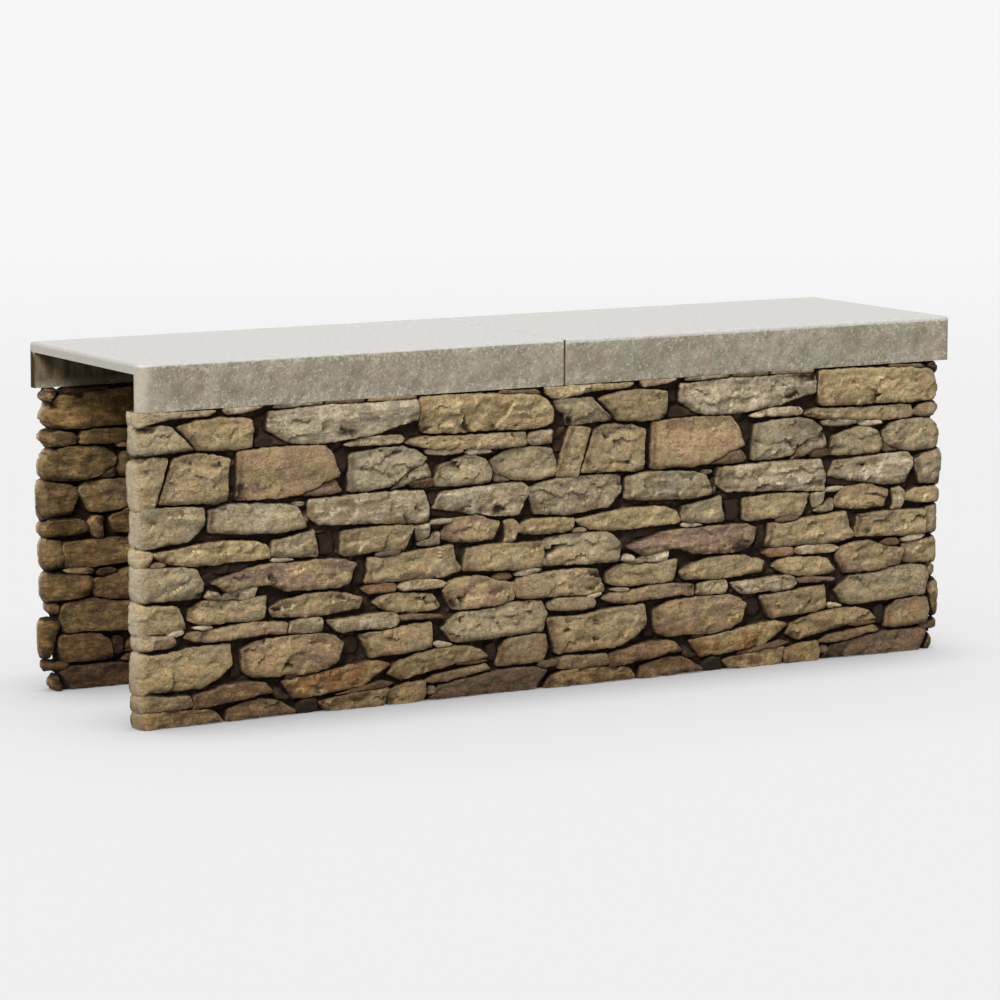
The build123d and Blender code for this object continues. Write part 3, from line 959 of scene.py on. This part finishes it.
def coping_section():
    """The channel's outline (across, up), anticlockwise from its front foot, and the kind of each point."""
    brow = COPING_TOP - ARRIS
    edge = np.append(round_steps(ARRIS, ARRIS_POINTS), ARRIS)
    level = np.full(ARRIS_POINTS, COPING_TOP)
    runs = (
        ("foot", stretch((-HALF, COPING_FOOT), (-INNER_HALF, COPING_FOOT), FACE_STEP)),
        ("inner", stretch((-INNER_HALF, COPING_FOOT), (-INNER_HALF, ROOF), INNER_STEP)),
        ("inner", stretch((-INNER_HALF, ROOF), (INNER_HALF, ROOF), INNER_STEP)),
        ("inner", stretch((INNER_HALF, ROOF), (INNER_HALF, COPING_FOOT), INNER_STEP)),
        ("foot", stretch((INNER_HALF, COPING_FOOT), (HALF, COPING_FOOT), FACE_STEP)),
        ("face", stretch((HALF, COPING_FOOT), (HALF, brow), FACE_STEP)),
        ("top", np.column_stack([HALF - edge[:-1], level])),
        ("top", stretch((HALF - ARRIS, COPING_TOP), (ARRIS - HALF, COPING_TOP), TOP_STEP)),
        ("top", np.column_stack([edge[:0:-1] - HALF, level])),
        ("face", stretch((-HALF, brow), (-HALF, COPING_FOOT), FACE_STEP)),
    )
    kinds = np.concatenate([[kind] * len(run) for kind, run in runs])
    return np.vstack([run for _, run in runs]), kinds


def coping_columns(length):
    """Places along a channel, closer together round its exposed corners."""
    corner = round_steps(NEAR_CORNER, CORNER_POINTS)
    plain = np.linspace(NEAR_CORNER, length - JOINT_CHAMFER, int(length / FACE_STEP))
    return np.concatenate([round_steps(ARRIS, ARRIS_POINTS), corner[corner > ARRIS], plain, [length]])


def draw_in(along, across, joint):
    """Where the sides go, round the corners and at the joint, and how far each point lies from an edge."""
    front = edge_drop(along, NEAR_CORNER) + joint
    back = edge_drop(along, FAR_CORNER) + joint
    beside = (HALF - np.abs(across)) / FLANGE
    drawn = np.where(across < 0, front, back) * np.clip(1 - beside, 0, 1)
    from_edge = np.minimum(along, np.where(across < 0, across + HALF - front, HALF - across - back))
    turning = (across < 0) & (along < NEAR_CORNER) & (across < NEAR_CORNER - HALF)
    turned = NEAR_CORNER - np.hypot(NEAR_CORNER - along, NEAR_CORNER - HALF - (across + drawn))
    return across - np.sign(across) * drawn, np.where(turning, turned, from_edge)


def top_drop(along, across, from_edge, seed):
    """How far the top falls away towards its edges, with small chips out of them."""
    chips = 2 * smooth(0.3, 0.8, noise(along / 24, across / 160, seed))
    chips = chips + 0.7 * noise(along / 9, across / 60, seed + 1)
    return edge_drop(np.maximum(from_edge, 0), ARRIS + np.maximum(chips, -2))


def side_wear(along, up, seed):
    """How far the faces lie behind their plane: a slight unevenness, and worn feet."""
    wear = (0.9 * noise(along / 30, up / 26, seed + 2) + 0.6 * noise(along / 13, up / 11, seed + 3)
            + 1.6 * edge_drop(np.maximum(up - COPING_FOOT, 0), 4) / 4)
    return np.maximum(wear, -0.6) * smooth(0, 20, along)


def coping_readings(points, kind, from_edge, joint):
    """What the material reads: how much each point belongs to the side, its painted shade, and its painted
    end light.
    """
    along, across, up = points.T
    is_top, is_foot, is_inner = kind == "top", kind == "foot", kind == "inner"
    is_front = (across <= 0) & ~is_top
    low, high = (np.where(is_front, *limits) for limits in zip(*PAINTED_END_FADES))
    in_corner = smooth(low, high, along)
    on_top = 0.3 * smooth(8, 30, along) * (1 - smooth(0, 8, from_edge))
    side = np.where(is_foot | (kind == "face"), smooth(0, BROW, COPING_TOP - up), on_top)
    # Painted shade on the inside, on the back foot at the exposed end, and in the joint
    under = is_foot & (across > 0) & (along < 2)
    in_joint = np.where(joint > 0, np.where(is_top, 0.3, 0.8), 0.0)
    return {"side": np.where(is_inner, 0.6, side), "inner": np.where(is_inner | under, 1.0, in_joint),
            "painted_end_light": np.where(is_inner, 0.0, 1 - in_corner)}


def end_cap(outline, end, exposed):
    """A flat end of a channel: points, triangles and readings."""
    places, triangles, _ = filled(outline, CAP_STEP, [])
    hanging = places[:, 1] < ROOF - 1
    # Painted shade on the back flange's end at the exposed end, and over the whole jointed end
    dark = 2.0 * (hanging & (places[:, 0] > 0)) if exposed else np.ones(len(places))
    read = {"side": np.where(hanging, 1.0, 0.35), "inner": dark, "painted_end_light": np.ones(len(places))}
    return np.insert(places, 0, end, axis=1), triangles[:, ::-1] if exposed else triangles, read


def coping_surface(length, seed):
    """A channel's surface between its ends, the exposed one at 0, and the outlines of its ends."""
    section, kinds = coping_section()
    columns = coping_columns(length)
    along = np.repeat(columns, len(section))
    across, up = np.tile(section, (len(columns), 1)).T
    kind = np.tile(kinds, len(columns))
    joint = np.where(along > length - 1, JOINT_CHAMFER, 0)
    across, from_edge = draw_in(along, across, joint)
    up = np.where(kind == "top", up - top_drop(along, across, from_edge, seed) - joint, up)
    across = np.where(kind == "face", across - np.sign(across) * side_wear(along, up, seed), across)
    points = np.column_stack([along, across, up])
    rings = np.arange(len(along)).reshape(len(columns), -1)
    triangles = np.vstack([strip(after, ring) for ring, after in zip(rings, rings[1:])])
    read = coping_readings(points, kind, from_edge, joint)
    return (points, triangles, read), points[rings[0], 1:], points[rings[-1], 1:]


def joint_filling(length):
    """A recessed strip that closes the joint between the two channels, dark with painted shade."""
    section, _ = coping_section()
    ring = section - outward(section) * JOINT_RECESS
    rings = np.arange(2 * len(ring)).reshape(2, -1)
    along = np.repeat([length - 2, length + JOINT_REACH], len(ring))
    read = {"side": 1.0, "inner": 1.5, "painted_end_light": 0.0}
    return np.column_stack([along, np.vstack([ring, ring])]), strip(rings[1], rings[0]), read


def coping_parts(name, seed):
    """The parts of one of the two channels; the right one is the left one turned by half a turn."""
    length = COPING_JOINT[0] - WALL_LEFT
    surface, exposed, jointed = coping_surface(length, seed)
    parts = [surface, end_cap(exposed, 0.0, True), end_cap(jointed, length, False)]
    if name == "coping_left":
        parts.append(joint_filling(length))
    turn = -1 if name == "coping_right" else 1
    shift = (turn * WALL_LEFT, 0, 0)
    return [(points * (turn, turn, 1) + shift, triangles, read) for points, triangles, read in parts]


# ---- materials

class Graph:
    """A material's or world's nodes, made one at a time."""

    def __init__(self, owner):
        owner.use_nodes = True
        self.tree = owner.node_tree
        self.tree.nodes.clear()

    def add(self, kind, values=None, **settings):
        """A node of that kind; values are its inputs, each a plain value or another node's output."""
        made = self.tree.nodes.new("ShaderNode" + kind)
        for key, value in settings.items():
            setattr(made, key, value)
        for key, value in (values or {}).items():
            if isinstance(value, bpy.types.NodeSocket):
                self.tree.links.new(value, made.inputs[key])
            else:
                made.inputs[key].default_value = value
        return made

    def attribute(self, name, output="Fac"):
        return self.add("Attribute", attribute_name=name).outputs[output]

    def place(self):
        """A point's place in its object, in metres."""
        return self.add("TexCoord").outputs["Object"]

    def axis(self, vector, number):
        """One of a vector's three numbers."""
        return self.add("SeparateXYZ", {0: vector}).outputs[number]

    def noise(self, place, scale, detail=3.0, roughness=0.55, distortion=0.0):
        values = {"Vector": place, "Scale": scale, "Detail": detail, "Roughness": roughness,
                  "Distortion": distortion}
        return self.add("TexNoise", values).outputs["Fac"]

    def drawn_noise(self, place, stretch, *look):
        """Noise whose scale differs along the three axes."""
        return self.noise(self.stretch(place, stretch), 1.0, *look)

    def ramp(self, value, low, high, to_low=0.0, to_high=1.0):
        """A number taken from one range to another, with an easy curve, and held inside it."""
        values = {"Value": value, 1: low, 2: high, 3: to_low, 4: to_high}
        return self.add("MapRange", values, interpolation_type="SMOOTHSTEP").outputs[0]

    def math(self, operation, first, second=0.0, third=0.0):
        return self.add("Math", {0: first, 1: second, 2: third}, operation=operation).outputs[0]

    def times(self, first, second):
        return self.math("MULTIPLY", first, second)

    def plus(self, first, second):
        return self.math("ADD", first, second)

    def mix(self, share, first, second, blend="MIX"):
        """Two colours mixed."""
        made = self.add("Mix", {0: share, 6: first, 7: second}, data_type="RGBA", blend_type=blend,
                        clamp_factor=True)
        return made.outputs[2]

    def tinged(self, base, amount, share, *shown):
        """A colour taken towards another, by up to that share where the amount is 1."""
        return self.mix(self.times(amount, share), base, colour(shown))

    def toned(self, base, amount, source, *factors):
        """A colour taken towards a source colour whose red, green and blue are multiplied."""
        return self.mix(amount, base, self.mix(1.0, source, factors + (1.0,), "MULTIPLY"))

    def shaded(self, base, value, low, high, dark, light):
        """A colour made darker or lighter as a number goes from low to high."""
        level = self.ramp(value, low, high, dark, light)
        return self.mix(1.0, base, self.add("CombineColor", {0: level, 1: level, 2: level}).outputs[0],
                        "MULTIPLY")

    def shift(self, first, second):
        return self.add("VectorMath", {0: first, 1: second}, operation="ADD").outputs[0]

    def stretch(self, place, scale):
        return self.add("VectorMath", {0: place, 1: scale}, operation="MULTIPLY").outputs[0]

    def wander(self, place, scale, size):
        """A shift to add to a place, so that straight edges wander."""
        tint = self.add("TexNoise", {"Vector": place, "Scale": scale, "Detail": 3.0}).outputs["Color"]
        return self.add("VectorMath", {0: tint, "Scale": size}, operation="SCALE").outputs[0]

    def finish(self, base, roughness, height, strength, distance, specular):
        """Colour, roughness and bump to a surface of plain dry stone."""
        bump = self.add("Bump", {"Height": height, "Strength": strength, "Distance": distance})
        shader = self.add("BsdfPrincipled", {"Base Color": base, "Roughness": roughness,
                                             "Specular IOR Level": specular, "Normal": bump.outputs[0]})
        self.add("OutputMaterial", {"Surface": shader.outputs[0]})


def own_place(graph, place):
    """A place in the stone's own noise, so that no two stones share a pattern."""
    seed = graph.attribute("seed")
    offset = graph.add("CombineXYZ", {0: seed, 1: graph.times(seed, 3.7), 2: graph.times(seed, 1.9)})
    return graph.shift(place, offset.outputs[0])


def two_tints(graph, own):
    """The stone's two tints, in patches and along its bedding."""
    patches = graph.noise(own, 17.0, 4.0, 0.6, 0.4)
    bedding = graph.drawn_noise(own, (11.0, 11.0, 80.0), 3.0, 0.6)
    mixed = graph.plus(graph.times(patches, 0.6), graph.times(bedding, 0.4))
    return graph.mix(graph.ramp(mixed, 0.44, 0.57), graph.attribute("tint", "Color"),
                     graph.attribute("stain", "Color"))


def faceted(graph, base, own, clouds):
    """Facets a little lighter or darker than each other, with painted shade in the creases between some."""
    bent = graph.shift(graph.stretch(own, (22.0, 22.0, 44.0)), graph.wander(own, 40.0, 1.3))
    cells = graph.add("TexVoronoi", {"Vector": bent, "Scale": 1.0}).outputs["Color"]
    edges = graph.add("TexVoronoi", {"Vector": bent, "Scale": 1.0}, feature="DISTANCE_TO_EDGE")
    crease = graph.times(graph.ramp(edges.outputs["Distance"], 0.0, 0.09, 1.0, 0.0),
                         graph.ramp(clouds, 0.46, 0.6))
    base = graph.shaded(base, graph.add("SeparateColor", {0: cells}).outputs[0], 0.0, 1.0, 0.88, 1.1)
    # Painted shade in the creases
    return graph.tinged(base, crease, 0.5, 74, 60, 44), crease


def mottled(graph, base, own, mottles, grain):
    """Mottles, dark speckles in the rougher patches, and pale flecks."""
    base = graph.shaded(base, mottles, 0.33, 0.67, 0.84, 1.17)
    base = graph.shaded(base, graph.noise(own, 150.0, 3.0, 0.7), 0.36, 0.64, 0.87, 1.14)
    rough_patch = graph.ramp(graph.noise(own, 26.0, 3.0, 0.6), 0.42, 0.6)
    dark = graph.times(graph.ramp(grain, 0.48, 0.38), graph.ramp(rough_patch, 0.0, 1.0, 0.1, 0.8))
    base = graph.tinged(base, dark, 0.55, 80, 74, 56)
    fleck = graph.ramp(graph.noise(own, 140.0, 3.0, 0.6), 0.56, 0.7)
    return graph.tinged(base, fleck, 0.26, 200, 186, 156)


def painted_light_and_shade(graph, base, clouds):
    """Painted light and shade: by the way it faces, on its left and lower side, and at the leaf's ends."""
    rise = graph.axis(graph.add("NewGeometry").outputs["Normal"], 2)
    # Painted shade where it faces down, and painted highlight where it tilts a little up
    base = graph.shaded(base, rise, -0.6, 0.3, 0.68, 1.08)
    # Painted shade where it faces up, which dims the tops that the lamps light
    base = graph.shaded(base, rise, 0.3, 0.8, 1.0, 0.76)
    # Painted shade, browner, on each stone's left and lower side
    painted_side_shade = graph.times(graph.attribute("painted_side_shade"), graph.ramp(clouds, 0.35, 0.65, 0.35, 0.85))
    base = graph.toned(base, painted_side_shade, base, 0.42, 0.34, 0.26)
    # Painted light: the stones are paler where they turn round the leaf's ends
    return graph.tinged(base, graph.attribute("end"), 0.5, 166, 155, 135)


def in_shade(graph, base, own, place, clouds, layers):
    """Painted shade in the joints, on the faces inside the wall, and near the ground, where it is also
    warmer.
    """
    # Painted shade in the joints: the more shade, the nearer to a near-black brown
    joint = graph.plus(graph.attribute("shade"), graph.ramp(clouds, 0.3, 0.7, -0.15, 0.15))
    base = graph.mix(graph.ramp(joint, 0.1, 0.95), base, colour((42, 30, 19)))
    # Painted shade on the faces inside the wall: darker, browner and streaked
    painted_inner_shade = graph.shaded(base, layers, 0.38, 0.62, 0.84, 1.17)
    strokes = graph.drawn_noise(own, (24.0, 24.0, 60.0), 4.0, 0.6, 0.5)
    painted_inner_shade = graph.shaded(painted_inner_shade, strokes, 0.38, 0.62, 0.68, 1.3)
    base = graph.toned(base, graph.attribute("inner"), painted_inner_shade, 0.5, 0.405, 0.28)
    # Painted shade near the ground: darker and warmer over the lowest 0.3 m
    painted_ground_shade = graph.ramp(graph.axis(place, 2), 0.0, 0.3, 1.0, 0.0)
    return graph.toned(base, painted_ground_shade, base, 0.66, 0.6, 0.5)


def stone_material():
    """Split sandstone: two mixed tints a stone, mottled and speckled, with painted light and shade, most in
    the joints.
    """
    material = bpy.data.materials.new("weathered_sandstone")
    graph = Graph(material)
    place = graph.place()
    own = own_place(graph, place)
    core, clouds = graph.attribute("core"), graph.noise(own, 36.0, 4.0, 0.6)
    mottles, grain = graph.noise(own, 80.0, 4.0, 0.62), graph.noise(own, 230.0, 3.0, 0.6)
    layers = graph.drawn_noise(own, (30.0, 30.0, 90.0), 4.0, 0.6)
    base, crease = faceted(graph, two_tints(graph, own), own, clouds)

    # Iron in the middle of a stone; painted shade towards its edges, so it is lighter in its middle;
    # and lighter and darker by the decimetre
    rusty = graph.times(core, graph.ramp(graph.noise(own, 23.0, 4.0, 0.65), 0.5, 0.7))
    base = graph.tinged(base, rusty, 0.3, 134, 98, 62)
    base = graph.shaded(base, graph.noise(place, 5.0, 2.0), 0.3, 0.7, 0.9, 1.1)
    base = graph.shaded(base, core, 0.0, 1.0, 0.94, 1.14)
    base = graph.shaded(base, clouds, 0.32, 0.68, 0.89, 1.12)
    base = mottled(graph, base, own, mottles, grain)
    base = in_shade(graph, painted_light_and_shade(graph, base, clouds), own, place, clouds, layers)

    height = graph.plus(graph.plus(graph.times(grain, 0.25), graph.times(mottles, 0.7)), layers)
    height = graph.math("SUBTRACT", height, graph.times(crease, 0.4))
    graph.finish(base, graph.ramp(grain, 0.3, 0.7, 0.82, 0.95), height, 0.75, 0.0035, 0.25)
    return material


def coping_face(graph, place):
    """The channel's sides: grey-beige and greenish clouds, pits, and pale flecks, most near the edges."""
    clouds = graph.noise(place, 9.0, 4.0, 0.6, 0.4)
    face = graph.mix(graph.ramp(clouds, 0.42, 0.58), colour((161, 155, 138)), colour((160, 149, 134)))
    green = graph.ramp(graph.noise(place, 15.0, 4.0, 0.65), 0.47, 0.62)
    face = graph.tinged(face, green, 0.6, 137, 134, 112)
    face = graph.shaded(face, graph.noise(place, 12.0, 3.0, 0.6), 0.35, 0.65, 0.93, 1.08)
    face = graph.shaded(face, graph.noise(place, 32.0, 4.0, 0.65), 0.34, 0.66, 0.88, 1.13)
    pit = graph.ramp(graph.noise(place, 120.0, 4.0, 0.7), 0.47, 0.37)
    face = graph.tinged(face, pit, 0.45, 104, 98, 76)
    height, foot, top = graph.axis(place, 2), COPING_FOOT / MM, COPING_TOP / MM
    near_edge = graph.math("MAXIMUM", graph.ramp(height, foot, foot + 0.03, 1.0, 0.0),
                           graph.ramp(height, top - 0.045, top, 0.0, 1.0))
    limit = graph.math("SUBTRACT", 0.56, graph.times(near_edge, 0.07))
    fleck = graph.ramp(graph.math("SUBTRACT", graph.noise(place, 110.0, 4.0, 0.72), limit), 0.0, 0.08)
    return graph.tinged(face, fleck, 0.62, 204, 198, 178)


def coping_material():
    """Cast stone: smooth and nearly white on top, pitted and speckled grey-beige on the sides.

    Painted shade darkens its inside and its joint; painted light and shade mark its exposed end.
    """
    material = bpy.data.materials.new("cast_stone_coping")
    graph = Graph(material)
    place = graph.place()
    ragged = graph.ramp(graph.noise(place, 90.0, 4.0, 0.65), 0.3, 0.7, -0.12, 0.12)
    side = graph.ramp(graph.plus(graph.attribute("side"), ragged), 0.15, 0.75)
    top = graph.mix(graph.ramp(graph.noise(place, 60.0, 4.0, 0.6), 0.35, 0.65), colour((190, 188, 184)),
                    colour((198, 196, 193)))
    # Painted light and shade at the exposed end: the top and its end greyer, the sides paler towards the
    # corner
    painted_end_light = graph.times(graph.attribute("painted_end_light"), 0.6)
    base = graph.mix(side, graph.mix(painted_end_light, top, colour((151, 147, 138))),
                     graph.mix(painted_end_light, coping_face(graph, place), colour((176, 168, 151))))
    # Painted shade inside the channel: brown and streaked, and darker still where inner is more than 1
    streaks = graph.drawn_noise(place, (26.0, 26.0, 5.0), 4.0, 0.65)
    inside = graph.mix(graph.ramp(streaks, 0.35, 0.65), colour((95, 83, 64)), colour((140, 125, 100)))
    inner = graph.attribute("inner")
    base = graph.shaded(graph.mix(inner, base, inside), inner, 1.0, 2.0, 1.0, 0.35)
    height = graph.plus(graph.noise(place, 190.0, 4.0, 0.7), graph.noise(place, 60.0, 3.0, 0.6))
    height = graph.times(height, graph.ramp(side, 0.0, 1.0, 0.12, 1.0))
    graph.finish(base, 0.9, height, 0.7, 0.0025, 0.0)
    return material


# ---- pieces

STONE_CREASE, COPING_CREASE = math.radians(48), math.radians(40)


def build_leaves(material):
    """Every course of both leaves, each one piece of separate stones and their packing."""
    laid = lay_stones()
    for copy, (leaf, sign) in enumerate(LEAVES.items()):
        for course in range(1, COURSES + 1):
            node = f"{leaf}_course_{course:02d}"
            low, high = node_box(node)
            face = low[1] if sign > 0 else -high[1]
            parts = [each.shape(copy) for each in laid if each.course == course]
            parts.append(packing(low[2], high[2], course_ends(course), 7 * course + 400 * copy))
            placed = [((points + (WALL_LEFT, face, 0)) * (sign, sign, 1), triangles, read)
                      for points, triangles, read in parts]
            piece = make_piece(f"{leaf}_stones_{course:02d}", placed, ("tint", "stain"),
                               ("shade", "core", "painted_side_shade", "inner", "end", "seed"), material, STONE_CREASE)
            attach(piece, "root")
            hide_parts(node)


def build_copings(material):
    for seed, name in ((300, "coping_left"), (340, "coping_right")):
        piece = make_piece(f"{name}_stone", coping_parts(name, seed), (), ("side", "inner", "painted_end_light"),
                           material, COPING_CREASE)
        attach(piece, "root")
        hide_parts(name)


# ---- floor, light and camera

FLOOR_HALF = 90.0  # metres
FLOOR_SEEN, FLOOR_FAR = 0.868, 0.922  # the floor's brightness near the wall and far away, 1 being white
FLOOR_RAMP = (4.0, 16.0)  # metres from the wall's middle, from the one to the other
SHADOW_SHARE = 0.02  # how much of the floor's brightness the lamps' own shadows take part in
FLOOR_ALBEDO = 0.73 * SHADOW_SHARE
CONTACT_SHADES = ((0.3, 0.72), (1.25, 0.32))  # how far each contact shadow reaches, and how dark it is
WORLD_LIGHT = 0.32
WHITE = (1.0, 1.0, 1.0, 1.0)

# Lamps: name, strength, angle its light spreads over (degrees), and which way from the wall it stands
LAMPS = (
    ("key", 4.0, 28, (-0.60, -0.42, 0.68)),
    ("fill", 2.3, 60, (0.70, 0.70, 0.14)),
)


def camera_only(graph, seen, unseen):
    """seen for rays from the camera and in mirrors, unseen for the light that reaches the object."""
    path = graph.add("LightPath").outputs
    direct = graph.math("MAXIMUM", path["Is Camera Ray"],
                        graph.math("MAXIMUM", path["Is Glossy Ray"], path["Is Transmission Ray"]))
    return graph.add("MixShader", {0: direct, 1: unseen, 2: seen}).outputs[0]


def floor_material():
    """A pale floor with a painted contact shadow under and beside the wall, a little weaker past its right
    end.
    """
    material = bpy.data.materials.new("pale_floor")
    graph = Graph(material)
    place = graph.place()
    away = graph.add("VectorMath", {0: place}, operation="LENGTH").outputs["Value"]
    level = graph.ramp(away, *FLOOR_RAMP, FLOOR_SEEN, FLOOR_FAR)
    level = graph.math("SUBTRACT", level, FLOOR_SEEN * SHADOW_SHARE)
    # Painted contact shadow, from how much of the sky the wall hides round each point, weaker past the
    # wall's right end
    less = graph.ramp(graph.axis(place, 0), 1.0, 1.6, 1.0, 0.6)
    for reach, shade in CONTACT_SHADES:
        openness = graph.add("AmbientOcclusion", {"Distance": reach}, samples=8).outputs["AO"]
        cover = graph.times(graph.math("SUBTRACT", 1.0, openness), less)
        level = graph.times(level, graph.math("MULTIPLY_ADD", cover, -shade, 1.0))
    light = graph.add("Emission", {"Color": WHITE, "Strength": level}).outputs[0]
    matt = graph.add("BsdfDiffuse", {"Color": (FLOOR_ALBEDO,) * 3 + (1.0,)}).outputs[0]
    seen = graph.add("AddShader", {0: light, 1: matt}).outputs[0]
    plain = graph.add("BsdfDiffuse", {"Color": (0.4, 0.4, 0.4, 1.0)}).outputs[0]
    graph.add("OutputMaterial", {"Surface": camera_only(graph, seen, plain)})
    return material


def build_floor():
    mesh = bpy.data.meshes.new("floor")
    corners = [(x * FLOOR_HALF, y * FLOOR_HALF, 0) for x, y in ((-1, -1), (1, -1), (1, 1), (-1, 1))]
    mesh.from_pydata(corners, [], [(0, 1, 2, 3)])
    mesh.materials.append(floor_material())
    floor = bpy.data.objects.new("floor", mesh)
    bpy.context.scene.collection.objects.link(floor)


def build_light():
    world = bpy.data.worlds.new("studio")
    bpy.context.scene.world = world
    graph = Graph(world)
    seen = graph.add("Background", {"Color": WHITE, "Strength": FLOOR_FAR}).outputs[0]
    unseen = graph.add("Background", {"Color": WHITE, "Strength": WORLD_LIGHT}).outputs[0]
    graph.add("OutputWorld", {"Surface": camera_only(graph, seen, unseen)})
    for name, strength, spread, stand in LAMPS:
        light = bpy.data.lights.new(name, "SUN")
        light.energy = strength
        light.angle = math.radians(spread)
        lamp = bpy.data.objects.new(name, light)
        lamp.rotation_euler = Vector(stand).to_track_quat("Z", "Y").to_euler()
        bpy.context.scene.collection.objects.link(lamp)


def build_camera():
    """The camera that fits the photo's perspective of the wall."""
    lens = bpy.data.cameras.new("camera")
    lens.sensor_width = 36.0
    lens.lens = 162.7
    lens.clip_end = 500.0
    camera = bpy.data.objects.new("camera", lens)
    camera.location = (-6.5521, -11.3172, 2.3369)
    camera.rotation_euler = (math.radians(81.99), 0.0, math.radians(-30.05))
    bpy.context.scene.collection.objects.link(camera)
    bpy.context.scene.camera = camera


bpy.context.scene.view_settings.view_transform = "Standard"
build_camera()
build_floor()
build_light()
build_leaves(stone_material())
build_copings(coping_material())

bpy.context.view_layer.update()
